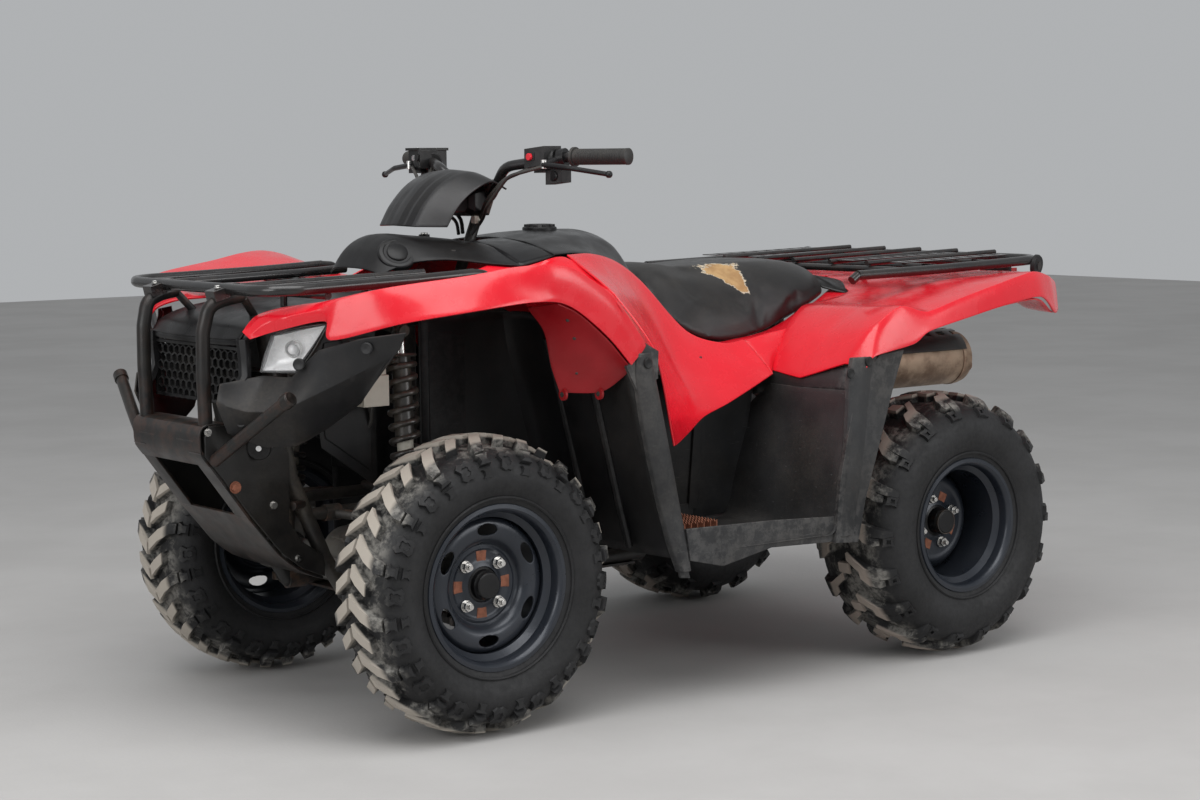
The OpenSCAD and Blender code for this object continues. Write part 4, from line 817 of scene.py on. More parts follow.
def lug(shape, profile, stations, top, half, around):
    """A tapered bar of rubber through stations of (u, v, half width, height), turned by around."""
    rings = []
    for u, v, w, h in stations:
        ring = []
        for dv, lift in ((-w - h * 0.22, -3), (-w, h), (w, h), (w + h * 0.22, -3)):
            ring.append(tread_point(profile, u, v + dv, lift, top, half))
        rings.append(ring)
    turn = Matrix.Rotation(around, 3, "Y")
    shape.loft([[turn @ p for p in ring] for ring in rings])


TYRE_R = 297.0
FRONT_CARCASS = [(276, 0), (275, 30), (270, 58), (259, 78), (243, 92), (222, 98), (200, 95), (178, 84),
                 (160, 77), (152, 74)]
REAR_CARCASS = [(277, 0), (276, 40), (271, 76), (259, 101), (240, 117), (215, 123), (190, 120),
                (165, 108), (147, 102), (139, 99)]


def carcass(shape, profile, inner_r, wall=9, sides=120):
    row = finer_row([Vector((r, z, 0)) for r, z in profile], 3, 0.0)
    half = [(p.x, p.y) for p in row]
    outside = [(r, -z) for r, z in reversed(half[1:])] + half
    inside = [(max(r - wall, inner_r), z * 0.86) for r, z in reversed(outside[3:-3])]
    ring = [(r / 1000, z / 1000) for r, z in outside + inside]
    shape.lathe(ring, (0, 0, 0), sides=sides)
    # Raised bead line and rim guard on each sidewall.
    for side in (-1, 1):
        r, z = profile[7]
        line = [(r - 3, z + 3.0), (r, z + 5.2), (r + 3, z + 3.2), (r + 3, z - 2), (r - 3, z - 2)]
        shape.lathe([(a / 1000, side * b / 1000) for a, b in line], (0, 0, 0), sides=sides)


def front_tread(shape, count=16):
    p, top, half = FRONT_CARCASS, TYRE_R, 101.0
    pitch = 2 * math.pi * top / count
    for k in range(count):
        a = 2 * math.pi * k / count
        for side in (-1, 1):
            shift = 0 if side > 0 else pitch * 0.08
            # Long arm of the chevron, out to two star blocks on the shoulder.
            lug(shape, p, [(side * 3, shift + 0, 13, 20), (side * 34, shift + 24, 13, 20),
                           (side * 60, shift + 42, 13, 18), (side * 76, shift + 45, 11, 15)],
                top, half, a)
            for u, w, h in ((90, 15, 14), (114, 13, 9)):
                lug(shape, p, [(side * (u - 9), shift + 46, w, h),
                               (side * (u - 4), shift + 46, w * 0.55, h),
                               (side * (u + 4), shift + 46, w * 0.55, h),
                               (side * (u + 9), shift + 46, w, h * 0.8)], top, half, a)
            # Short chevron and the long ringed block beside it.
            half_pitch = pitch / 2
            lug(shape, p, [(side * 4, shift + half_pitch, 12, 20),
                           (side * 22, shift + half_pitch + 14, 12, 20),
                           (side * 46, shift + half_pitch + 32, 12, 19)], top, half, a)
            ring_block(shape, p, side, shift + half_pitch + 42, top, half, a)


def ring_block(shape, profile, side, v, top, half, around):
    """A long six-sided shoulder block with a sunk middle."""
    outline = [(79, -11), (86, -20), (97, -14), (108, -20), (115, -9), (113, 0), (115, 9), (108, 20),
               (97, 14), (86, 20), (79, 11), (82, 0)]
    turn = Matrix.Rotation(around, 3, "Y")
    rings = []
    for grow, lift in ((1.12, -3), (1.0, 9), (0.50, 9), (0.42, 6)):
        rings.append([turn @ tread_point(profile, side * (97 + (u - 97) * grow), v + w * grow, lift,
                                         top, half) for u, w in outline])
    shape.loft(rings if side > 0 else [ring[::-1] for ring in rings])


def diamond_block(shape, profile, side, u0, v, top, half, around, size=15):
    """A four-pointed shoulder block with a square hollow."""
    outline = []
    for k in range(8):
        reach = 1.0 if k % 2 == 0 else 0.60
        t = math.pi / 4 * k + math.pi / 4
        outline.append((math.cos(t) * reach * size, math.sin(t) * reach * size * 1.15))
    turn = Matrix.Rotation(around, 3, "Y")
    rings = []
    for grow, lift in ((1.2, -3), (1.0, 9), (0.45, 9), (0.4, 4)):
        rings.append([turn @ tread_point(profile, side * (u0 + u * grow), v + w * grow, lift, top, half)
                      for u, w in outline])
    shape.loft(rings if side > 0 else [ring[::-1] for ring in rings])


def rear_tread(shape, count=18):
    p, top, half = REAR_CARCASS, TYRE_R, 126.5
    pitch = 2 * math.pi * top / count
    for k in range(count):
        a = 2 * math.pi * k / count
        for side in (-1, 1):
            shift = 0 if side > 0 else pitch * 0.5
            # Claw: a long curved bar from near the middle to the shoulder.
            lug(shape, p, [(side * 12, shift, 8, 20), (side * 34, shift + 16, 9, 20),
                           (side * 58, shift + 34, 10, 19), (side * 82, shift + 42, 11, 17),
                           (side * 104, shift + 44, 10, 13), (side * 122, shift + 44, 7, 6)],
                top, half, a)
            # Shorter hooked bar between the claws.
            lug(shape, p, [(side * 42, shift + pitch * 0.5 - 12, 9, 20),
                           (side * 62, shift + pitch * 0.5 + 4, 10, 19),
                           (side * 80, shift + pitch * 0.5 + 12, 10, 17),
                           (side * 94, shift + pitch * 0.5 + 12, 8, 13)], top, half, a)
            diamond_block(shape, p, side, 112, shift + pitch * 0.5 + 12, top, half, a)
        # Middle block.
        lug(shape, p, [(-15, pitch * 0.27, 11, 20), (15, pitch * 0.27, 13, 20)], top, half, a)


def make_tyres(looks):
    for side, name in ((1, "front_left"), (-1, "front_right")):
        shape = Shape()
        carcass(shape, FRONT_CARCASS, 152)
        front_tread(shape)
        put_wheel(shape, side, FRONT_X, FRONT_Y)
        shape.piece(f"{name}_tyre_rubber", [looks["front_rubber"]], [f"{name}_tyre"],
                    body=f"{name}_wheel", origin=(FRONT_X, side * FRONT_Y, AXLE_Z), sharp=28)
    for side, name in ((1, "left"), (-1, "right")):
        shape = Shape()
        carcass(shape, REAR_CARCASS, 139)
        rear_tread(shape)
        put_wheel(shape, side, REAR_X, REAR_Y)
        shape.piece(f"rear_{name}_tyre_rubber", [looks["rear_rubber"]], ["rear_tyres"],
                    body="rear_wheels", origin=(REAR_X, side * REAR_Y, AXLE_Z), sharp=28)


def put_wheel(shape, side, x, y):
    """Turns a wheel drawn about its own centre to face its side, and sets it on its axle."""
    turn = Matrix.Identity(3) if side > 0 else Matrix.Rotation(math.pi, 3, "Z")
    shape.points = [turn @ p + Vector((x, side * y, AXLE_Z)) for p in shape.points]


def wheel_disc(shape, ring, slots, slot_r, slot_size):
    """A pressed disc in rings of (radius, along), with oval slots left open in it."""
    n = 192
    turn = 2 * math.pi / max(slots, 1)
    polar = [[(r, 2 * math.pi * k / n, h) for k in range(n)] for r, h in ring]

    def off_centre(r, a):
        """Radial and sideways distance from the nearest slot's centre, as shares of its size."""
        near = (a + turn / 2) % turn - turn / 2
        return (r - slot_r) / slot_size[0], near * slot_r / slot_size[1]

    faces, edge, gone = [], set(), set()
    for i in range(len(ring) - 1):
        for k in range(n):
            face = [(i, k), (i, (k + 1) % n), (i + 1, (k + 1) % n), (i + 1, k)]
            u, v = off_centre((ring[i][0] + ring[i + 1][0]) / 2, 2 * math.pi * (k + 0.5) / n)
            if slots and u * u + v * v < 1:
                gone.update(face)
            else:
                faces.append([a * n + b for a, b in face])
                edge.update(face)
    for i, k in edge & gone:
        r, a, h = polar[i][k]
        u, v = off_centre(r, a)
        far = max(math.hypot(u, v), 1e-6)
        polar[i][k] = (slot_r + u / far * slot_size[0], a + (v / far - v) * slot_size[1] / slot_r, h)
    shape.add([Vector((r * math.sin(a), h, r * math.cos(a))) / 1000 for row in polar for r, a, h in row],
              faces, 0)


def wheel_shell(ring, slots, slot_r, slot_size, name, body, look, origin, side):
    shape = Shape()
    wheel_disc(shape, ring, slots, slot_r, slot_size)
    put_wheel(shape, side, origin[0], abs(origin[1]))
    shape.piece(name, [look], body=body, origin=origin, thick=0.0035, edge=0.0008, sharp=40)


def barrel(bead, wide):
    """Closed section of a wheel's rolled rim: flanges, bead seats and drop centre."""
    r, w = bead / 2, wide / 2
    outside = [(r + 12, -w - 5), (r + 14, -w - 2), (r + 12, -w), (r + 2, -w), (r, -w + 3), (r, -w + 22),
               (r - 12, -w + 32), (r - 13, w - 34), (r, w - 22), (r, w - 3), (r + 2, w), (r + 12, w),
               (r + 14, w + 2), (r + 12, w + 5)]
    inside = [(r + 4, w + 6), (r - 2, w + 2), (r - 5, w - 6), (r - 5, w - 22), (r - 17, w - 32),
              (r - 17, -w + 34), (r - 5, -w + 22), (r - 5, -w + 4), (r + 4, -w - 6)]
    return [(a / 1000, b / 1000) for a, b in outside + inside]


FRONT_DISC = [(137, 26), (133, 36), (129, 41), (126, 43), (123.5, 44), (121, 44.5), (118.5, 45),
              (116, 45.3),
              (113.5, 45.5), (111, 45.5), (108.5, 45.5), (106, 45.3), (103.5, 45), (101, 44.6), (98.5, 44),
              (96, 43), (92, 41), (88, 37), (84, 30), (81, 25), (78, 23), (75, 24.5), (72, 26), (69, 24),
              (66, 22), (62, 22), (56, 22), (50, 22), (44, 24), (36, 28)]
REAR_DISC = [(124, -34), (119, -22), (112, -12), (104, -3), (98, 3), (92, 6), (86, 6), (82, 4.5), (78, 4),
             (70, 4), (62, 4), (56, 4), (50, 4), (44, 6), (36, 10)]


def make_rims(looks):
    rim = looks["rim"]
    for side, name in ((1, "front_left"), (-1, "front_right")):
        origin = (FRONT_X, side * FRONT_Y, AXLE_Z)
        body = f"{name}_wheel"
        shape = Shape()
        shape.lathe(barrel(305, 152), (0, 0, 0), sides=96)
        put_wheel(shape, side, FRONT_X, FRONT_Y)
        shape.piece(f"{name}_rim_barrel", [rim], [f"{name}_rim"], body=body, origin=origin, sharp=40)
        wheel_shell(FRONT_DISC, 6, 111, (12.0, 24.0), f"{name}_rim_disc", body, rim, origin, side)
        hub_parts(f"{name}_hub", body, origin, side, 0.022, 0.055, math.radians(45), looks, 0.028)
    for side, name in ((1, "left"), (-1, "right")):
        origin = (REAR_X, side * REAR_Y, AXLE_Z)
        shape = Shape()
        shape.lathe(barrel(279, 203), (0, 0, 0), sides=96)
        put_wheel(shape, side, REAR_X, REAR_Y)
        shape.piece(f"rear_{name}_rim_barrel", [rim], ["rear_rims"], body="rear_wheels", origin=origin,
                    sharp=40)
        wheel_shell(REAR_DISC, 0, 0, (1, 1), f"rear_{name}_rim_disc", "rear_wheels", rim, origin, side)
        hub_parts(f"rear_{name}_hub", "rear_wheels", origin, side, 0.004, 0.055, math.radians(20), looks,
                  0.0375)


def hub_parts(name, body, origin, side, face, stud_r, turn, looks, cap):
    """Wheel nuts on their studs, rusty openings between them, and the black hub cap."""
    shape = Shape()
    out = Vector((0, 1, 0))
    for k in range(4):
        a = turn + math.pi / 2 * k
        spot = Vector((math.sin(a) * stud_r, face, math.cos(a) * stud_r))
        shape.rod(spot, spot + out * 0.004, 0.0125, 20, 1)
        shape.rod(spot + out * 0.004, spot + out * 0.014, 0.0105, 6, 1)
        shape.rod(spot + out * 0.014, spot + out * 0.022, 0.0055, 12, 1)
        b = a + math.pi / 4
        way = Vector((math.sin(b), 0, math.cos(b)))
        across = Vector((way.z, 0, -way.x))
        corners = ((0.036, -0.0095), (0.036, 0.0095), (0.067, 0.0125), (0.067, -0.0125))
        shape.prism([way * r + across * w + out * (face - 0.0004) for r, w in corners], out * 0.0014, 2)
    ring = [(0.0, face + cap), (0.024, face + cap), (0.0265, face + cap - 0.002),
            (0.027, face + cap - 0.006),
            (0.030, face + cap - 0.010), (0.030, face + 0.006), (0.038, face + 0.002), (0.0, face + 0.002)]
    shape.lathe(ring, (0, 0, 0), sides=40)
    put_wheel(shape, side, origin[0], abs(origin[1]))
    shape.piece(name, [looks["satin"], looks["zinc"], looks["rust"], looks["rubber"]], body=body,
                origin=origin, sharp=35, edge=0.0006)


# ---------------------------------------------------------------- grille, lamps, nose
def make_nose(looks):
    black, satin = looks["black"], looks["satin"]
    # Honeycomb with a rim, set back behind the hood.
    shape = Shape()
    cell_w, cell_h, wall = 24.0, 20.0, 1.6
    for row in range(-1, 7):
        for col in range(-8, 9):
            y = col * cell_w + (cell_w / 2 if row % 2 else 0)
            z = 656 + 9 + row * cell_h * 0.86
            if abs(y) > 176 - cell_w * 0.42 or z < 656 + 6 or z > 768 - 6:
                continue
            outer, inner = [], []
            for k in range(6):
                a = math.pi / 3 * k + math.pi / 6
                c, s = math.cos(a), math.sin(a)
                outer.append((y + c * cell_w * 0.58, z + s * cell_h * 0.60))
                inner.append((y + c * (cell_w * 0.58 - wall * 1.6), z + s * (cell_h * 0.60 - wall * 1.6)))
            rings = []
            for x, line in ((374, outer), (381, outer), (382, inner), (374, inner)):
                rings.append([at(x, py, pz) for py, pz in line])
            n = 6
            faces = [[i * n + j, i * n + (j + 1) % n, ((i + 1) % 4) * n + (j + 1) % n,
                      ((i + 1) % 4) * n + j]
                     for i in range(4) for j in range(n)]
            shape.add([p for ring in rings for p in ring], faces, 0)
    for z in (656, 764):
        shape.block(at(378, 0, z + 2), (0.010, 0.352, 0.006))
    for y in (-174, 174):
        shape.block(at(378, y, 712), (0.010, 0.005, 0.112))
    # Dark sheet behind the holes, painted shade for the dark seen through them.
    shape.block(at(360, 0, 712), (0.003, 0.340, 0.106), None, 1)
    shape.piece("honeycomb_grille", [black, looks["rubber"]], ["grille"], sharp=30)
    # Brow over the grille, cheek edges beside the lamps.
    shape = Shape()
    brow = [(394, 0, 783), (393, 60, 783), (392, 120, 784), (387, 168, 786), (370, 186, 800)]
    lip = []
    for x, y, z in [(px, -py, pz) for px, py, pz in reversed(brow[1:])] + brow:
        lip.append([at(x - 12, y, z + 6), at(x - 1, y, z + 3), at(x + 1, y, z - 4), at(x - 1, y, z - 12),
                    at(x - 14, y, z - 15)])
    shape.loft(lip)
    shape.piece("hood_brow", [satin], edge=0.0015)
    shape = Shape()
    cheek = [(388, 176, 786), (386, 178, 752), (384, 177, 716), (398, 172, 690), (420, 168, 672)]
    rings = [[at(x - 4, y + 16, z), at(x + 4, y + 6, z), at(x + 4, y - 6, z), at(x - 10, y - 8, z),
              at(x - 14, y + 14, z)] for x, y, z in cheek]
    shape.loft(rings)
    shape.mirror().piece("hood_cheeks", [satin], edge=0.0012)


LAMP_NET = [
    [(350, 234, 796), (354, 214, 760), (356, 197, 722)],
    [(318, 286, 808), (326, 256, 764), (338, 232, 722)],
    [(290, 338, 818), (300, 304, 775), (318, 266, 722)]]


def make_lamps(looks):
    grid = finer_net([spread(row) for row in LAMP_NET], 8, 8, 0.2)
    n, m = len(grid), len(grid[0])
    normals = []
    for i in range(n):
        row = []
        for j in range(m):
            a = grid[min(i + 1, n - 1)][j] - grid[max(i - 1, 0)][j]
            b = grid[i][min(j + 1, m - 1)] - grid[i][max(j - 1, 0)]
            row.append(b.cross(a).normalized())
        normals.append(row)
    if normals[n // 2][m // 2].x < 0:
        normals = [[-v for v in row] for row in normals]

    def skin(depth, flat=1.0):
        """The lamp's face pushed in by depth, fully in the middle and by the share flat at its rim."""
        points = []
        for i in range(n):
            for j in range(m):
                u, v = i / (n - 1) * 2 - 1, j / (m - 1) * 2 - 1
                bowl = max(0.0, 1 - (u * u * u * u + v * v * v * v) / 1.2)
                points.append(grid[i][j] - normals[i][j] * (depth * (flat + (1 - flat) * bowl)))
        return points

    shape = Shape()
    shape.add(skin(0.0), net_faces(n, m))
    shape.mirror().piece("headlight_lenses", [looks["lens"]], ["headlights"], "clear_lens", thick=0.0025)
    shape = Shape()
    shape.add(skin(0.030, 0.25), net_faces(n, m))
    shape.mirror().piece("headlight_reflectors", [looks["mirror"]], thick=0.001)
    # Housing rim, and the bulb in its ring.
    shape = Shape()
    rim = ([(0, j) for j in range(m)] + [(i, m - 1) for i in range(1, n)]
           + [(n - 1, j) for j in range(m - 2, -1, -1)] + [(i, 0) for i in range(n - 2, 0, -1)])
    heart = sum((grid[i][j] for i, j in rim), Vector()) / len(rim)
    rings = []
    for i, j in rim:
        p, v = grid[i][j], normals[i][j]
        inward = (heart - p).normalized() * 0.004
        rings.append([p - v * 0.001, p - v * 0.001 + inward, p - v * 0.030 + inward, p - v * 0.030])
    flat = [q for ring in rings for q in ring]
    faces = [[i * 4 + j, i * 4 + (j + 1) % 4, ((i + 1) % len(rings)) * 4 + (j + 1) % 4,
              ((i + 1) % len(rings)) * 4 + j] for i in range(len(rings)) for j in range(4)]
    shape.add(flat, faces, 0)
    facing = normals[n // 2][m // 2]
    r, p = 0.017, grid[n // 2][m // 2] - facing * 0.020
    shape.lathe([(r, -0.012), (r, 0.002), (r * 0.82, 0.004), (r * 0.75, -0.010)], p, facing, sides=36,
                mark=1)
    shape.ball(p, r * 0.62, 2)
    shape.mirror().piece("headlight_housings", [looks["black"], looks["zinc"], looks["mirror"]], sharp=35)


# ---------------------------------------------------------------- front guard
def curved_strip(shape, line, half_y, thick):
    """A plate bent to a side line of (x, z), from -half_y to half_y, on the grid."""
    rows = []
    for i, (x, z) in enumerate(line):
        a = line[max(i - 1, 0)]
        b = line[min(i + 1, len(line) - 1)]
        d = Vector((b[0] - a[0], 0, b[1] - a[1])).normalized()
        out = Vector((-d.z, 0, d.x)) * thick
        rows.append((x, z, x + out.x, z + out.z))
    rings = []
    for y in (-half_y, half_y):
        rings.append([at(x, y, z) for x, z, _, _ in rows] + [at(u, y, w) for _, _, u, w in rows[::-1]])
    shape.loft(rings)


def make_guard(looks):
    guard = looks["guard"]
    shape = Shape()
    # Bent uprights with their crimped tops, from the nose to the rack.
    up = spread([(434, 120, 619), (437, 121, 720), (436, 122, 800), (424, 126, 850), (392, 130, 862),
                 (355, 134, 868)])
    shape.tube(up, 0.014, 0.06, 18)
    # Wing tubes with their end blocks.
    wing = spread([(428, 139, 549), (402, 250, 621), (377, 348, 685)])
    shape.tube(wing, 0.0125, 0.05, 16)
    way = (wing[-1] - wing[-2]).normalized()
    shape.rod(wing[-1] - way * 0.022, wing[-1] - way * 0.002, 0.0150, 20)
    shape.rod(wing[-1] - way * 0.004, wing[-1], 0.0135, 20)
    # Side cheeks of thick plate.
    cheek = [(438, 618), (448, 598), (448, 560), (412, 515), (352, 436), (284, 355), (236, 318), (184, 296),
             (185, 338), (235, 372), (264, 415), (261, 508), (262, 551), (300, 600), (398, 618)]
    shape.prism([at(x, 136, z) for x, z in cheek][::-1], (0, 0.006, 0))
    # Stays to the frame.
    shape.tube(spread([(352, 134, 862), (300, 115, 800)]), 0.008, 0, 12)
    shape.tube(spread([(255, 139, 445), (222, 124, 445)]), 0.009, 0, 12)
    # Rail beside the opening, rolled.
    rail = [(457, 567), (430, 530), (400, 490), (353, 427)]
    rings = [[at(x, 137, z), at(x, 90, z), at(x - 2, 88, z - 2), at(x - 5, 90, z + 4),
              at(x - 5, 137, z + 4)]
             for x, z in rail]
    shape.loft(rings)
    shape.mirror().piece("guard_tubes_and_cheeks", [guard], ["front_guard"], "frame_steel", edge=0.0010,
                         sharp=30)

    shape = Shape()
    # Nose band with its folded lower lip, and the belly plate.
    curved_strip(shape, [(398, 622), (440, 622), (450, 618), (456, 610), (458, 600), (457, 575), (454, 560),
                         (446, 549), (437, 538)], 137, -4)
    curved_strip(shape, [(357, 432), (330, 400), (288, 350), (262, 328), (239, 312), (212, 300),
                         (186, 290)],
                 136, -5)
    shape.tube(spread([(290, -136, 372), (290, 136, 372)]), 0.009, 0, 14)
    # Stiffening ribs pressed into the nose band.
    for y in (-78, 78):
        shape.rod(at(454.5, y - 34, 588), at(454.5, y + 34, 588), 0.0035, 10)
    shape.piece("guard_nose_band", [guard], edge=0.0010, sharp=30)

    # Bolts: square clamps on the uprights, round heads on the cheeks.
    shape = Shape()
    for x, z, r in ((442, 607, 0.006), (300, 575, 0.0065), (300, 452, 0.0065), (246, 340, 0.0055)):
        for s in (1, -1):
            shape.bolt(at(x, s * 142, z), (0, s, 0), r)
    shape.piece("guard_bolts", [looks["zinc"]], sharp=30)
    shape = Shape()
    shape.bolt(at(385, 143, 495), (0, 1, 0), 0.009)
    shape.bolt(at(385, -143, 495), (0, -1, 0), 0.009)
    shape.piece("guard_rusty_bolts", [looks["rust"]], sharp=30)
    # Round reflector with a white middle beside the nose.
    shape = Shape()
    out = Vector((0.62, 0.74, -0.1)).normalized()
    place = at(334, 152, 570)
    shape.lathe([(0.0, 0.0), (0.024, 0.0), (0.024, 0.006), (0.022, 0.0085), (0.010, 0.0095), (0.0, 0.0095)],
                place, out, 48, 0)
    shape.lathe([(0.0, 0.0085), (0.0055, 0.0085), (0.0055, 0.0105), (0.0, 0.011)], place, out, 32, 1)
    shape.rod(at(318, 141, 572), place + out * 0.001, 0.008, 16, 2)
    shape.piece("round_reflector", [looks["black"], looks["mirror"], looks["black"]], sharp=35)


def make_inner_guards(looks):
    shape = Shape()
    front = [(75, 470), (205, 560), (225, 700), (205, 792), (75, 802)]
    rear = [(-30, 470), (-230, 420), (-245, 700), (-235, 785), (-30, 812)]
    for outline in (front, rear):
        flat_plate(outline, 170, 3, shape)
        # A second, smaller raised field makes the pressed panel.
        cx = sum(p[0] for p in outline) / len(outline)
        cz = sum(p[1] for p in outline) / len(outline)
        inner = [(cx + (x - cx) * 0.82, cz + (z - cz) * 0.82) for x, z in outline]
        flat_plate(inner, 173, 3, shape)
    shape.mirror().piece("inner_splash_guards", [looks["black"]], ["front_inner_guards"], edge=0.0012)
    shape = Shape()
    block = [at(78, 176, 640), at(138, 176, 640), at(138, 226, 640), at(78, 226, 640)]
    shape.prism(block, (0, 0, 0.062))
    shape.prism([at(82, 180, 702), at(134, 180, 702), at(134, 222, 702), at(82, 222, 702)], (0, 0, 0.014))
    shape.rod(at(108, 200, 714), at(108, 200, 722), 0.011, 24)
    shape.rod(at(108, 200, 722), at(108, 200, 738), 0.015, 24, 1)
    for k in range(12):
        a = math.pi / 6 * k
        shape.block(at(108, 200, 730) + Vector((math.cos(a), math.sin(a), 0)) * 0.015,
                    (0.0022, 0.0022, 0.013),
                    Matrix.Rotation(a, 3, "Z"), 1)
    shape.piece("coolant_bottle", [looks["tank"], looks["black"]], ["coolant_tank"], edge=0.003, sharp=45)
    shape = Shape()
    shape.tube(spread([(108, 200, 736), (130, 204, 752), (150, 190, 770), (160, 168, 778)]), 0.0035, 0.02,
               10)
    shape.tube(spread([(96, 190, 638), (92, 178, 600), (110, 150, 570)]), 0.0045, 0.03, 10)
    shape.piece("coolant_hoses", [looks["rubber"]], sharp=40)


# ---------------------------------------------------------------- racks
def slotted_plate(shape, low, high, z, slots, thick, tilt):
    """A flat pressed strip with slots cut through it, on the grid. It rises by tilt towards high."""
    (x0, y0), (x1, y1) = low, high
    step = (x1 - x0) / (slots * 2 + 1)
    for k in range(slots * 2 + 1):
        a, b = x0 + step * k, x0 + step * (k + 1)
        bands = [(y0, y1)] if k % 2 == 0 else [(y0, y0 + 12), (y1 - 12, y1)]
        for c, d in bands:
            za = z + tilt * (a - x0) / (x1 - x0)
            zb = z + tilt * (b - x0) / (x1 - x0)
            slab(shape, [(a, c, za), (b, c, zb), (b, d, zb), (a, d, za)], thick)


def make_racks(looks):
    rack = looks["rack"]
    shape = Shape()
    loop = spread([(-86, 288, 899), (60, 293, 892), (250, 298, 886), (330, 300, 884), (372, 276, 883),
                   (388, 235, 882), (388, 120, 882), (388, 0, 882)])
    shape.tube(loop, 0.011, 0.05, 20)
    # Rear end of each side tube is flattened and folded down to the fender.
    shape.tube(spread([(-86, 288, 899), (-112, 287, 897), (-128, 286, 884)]), 0.010, 0.02, 14)
    shape.tube(spread([(388, 130, 882), (250, 134, 886), (60, 140, 892), (-60, 150, 897)]), 0.009, 0.08, 16)
    shape.mirror()
    for x, z, half in ((250, 868.7, 281), (60, 874.7, 276)):
        shape.tube(spread([(x, -half, z), (x, half, z)]), 0.008, 0, 16)
    for s in (1, -1):
        for x, z in ((250, 868.7), (60, 874.7)):
            shape.rod(at(x, s * 115, 800), at(x, s * 115, z), 0.007, 14)
    shape.piece("front_rack_tubes", [rack], ["front_rack"], sharp=30)
    # Pressed side platforms with slots, and their upstands.
    shape = Shape()
    slotted_plate(shape, (-60, 176), (230, 262), 892, 7, 2.4, tilt=-5)
    for y in (177, 261):
        slab(shape, [(-60, y - 1.2, 893), (230, y - 1.2, 888), (230, y + 1.2, 888), (-60, y + 1.2, 893)], 9)
    shape.mirror().piece("front_rack_plates", [rack], edge=0.0008)
    # Clamps that hold the loop to the guard uprights.
    shape = Shape()
    for s in (1, -1):
        shape.block(at(405, s * 128, 872), (0.034, 0.036, 0.022), Matrix.Rotation(0.25, 3, "Y"))
        shape.bolt(at(405, s * 128, 884), (0, 0, 1), 0.0055, 1)
        shape.block(at(374, s * 130, 884), (0.020, 0.026, 0.018))
    shape.piece("rack_clamps", [rack, looks["zinc"]], edge=0.0012, sharp=30)

    shape = Shape()
    side = spread([(-1080, 372, 862), (-1340, 380, 868), (-1640, 392, 879), (-1679, 350, 880),
                   (-1679, 200, 880),
                   (-1679, 0, 880)])
    shape.tube(side, 0.011, 0.05, 20)
    shape.tube(spread([(-1080, 372, 862), (-1062, 372, 851)]), 0.0105, 0.01, 14)
    shape.mirror()

    def side_tube(x):
        """Half width and height of the rack's side tube at x."""
        return 372 + (-1080 - x) * 20 / 560, 862 + (-1080 - x) * 17 / 560

    for x in (-1240, -1350, -1520):
        half, z = side_tube(x)
        shape.tube(spread([(x, -half, z), (x, half, z)]), 0.008, 0, 16)
    for s in (1, -1):
        for x in (-1350, -1520):
            shape.rod(at(x, s * 115, 712), at(x, s * 115, side_tube(x)[1]), 0.007, 14)
    for y in (-250, -125, 0, 125, 250):
        shape.tube(spread([(-1230, y, 880.7), (-1664, y, 894.2)]), 0.006, 0, 14)
    shape.piece("rear_rack_tubes", [rack], ["rear_rack"], sharp=30)
    shape = Shape()
    for y in (158, 330):
        slotted_plate(shape, (-1600, y - 26), (-1250, y + 26), 893, 8, 2.2, tilt=-8)
    shape.mirror()
    shape.piece("rear_rack_plates", [rack], edge=0.0008)
    # Round reflector at the rear corner.
    shape = Shape()
    for s in (1, -1):
        place = at(-1650, s * 396, 866)
        out = Vector((-0.25, s * 0.9, -0.1)).normalized()
        shape.lathe([(0.0, -0.004), (0.026, -0.004), (0.026, 0.002), (0.023, 0.006), (0.0, 0.007)], place,
                    out, 40, 0)
        shape.lathe([(0.0, 0.0055), (0.010, 0.0055), (0.010, 0.0082), (0.0, 0.0086)], place, out, 28, 1)
        shape.rod(at(-1646, s * 386, 868), place, 0.005, 12, 2)
    shape.piece("corner_reflectors", [looks["black"], looks["rack"], looks["black"]], sharp=35)


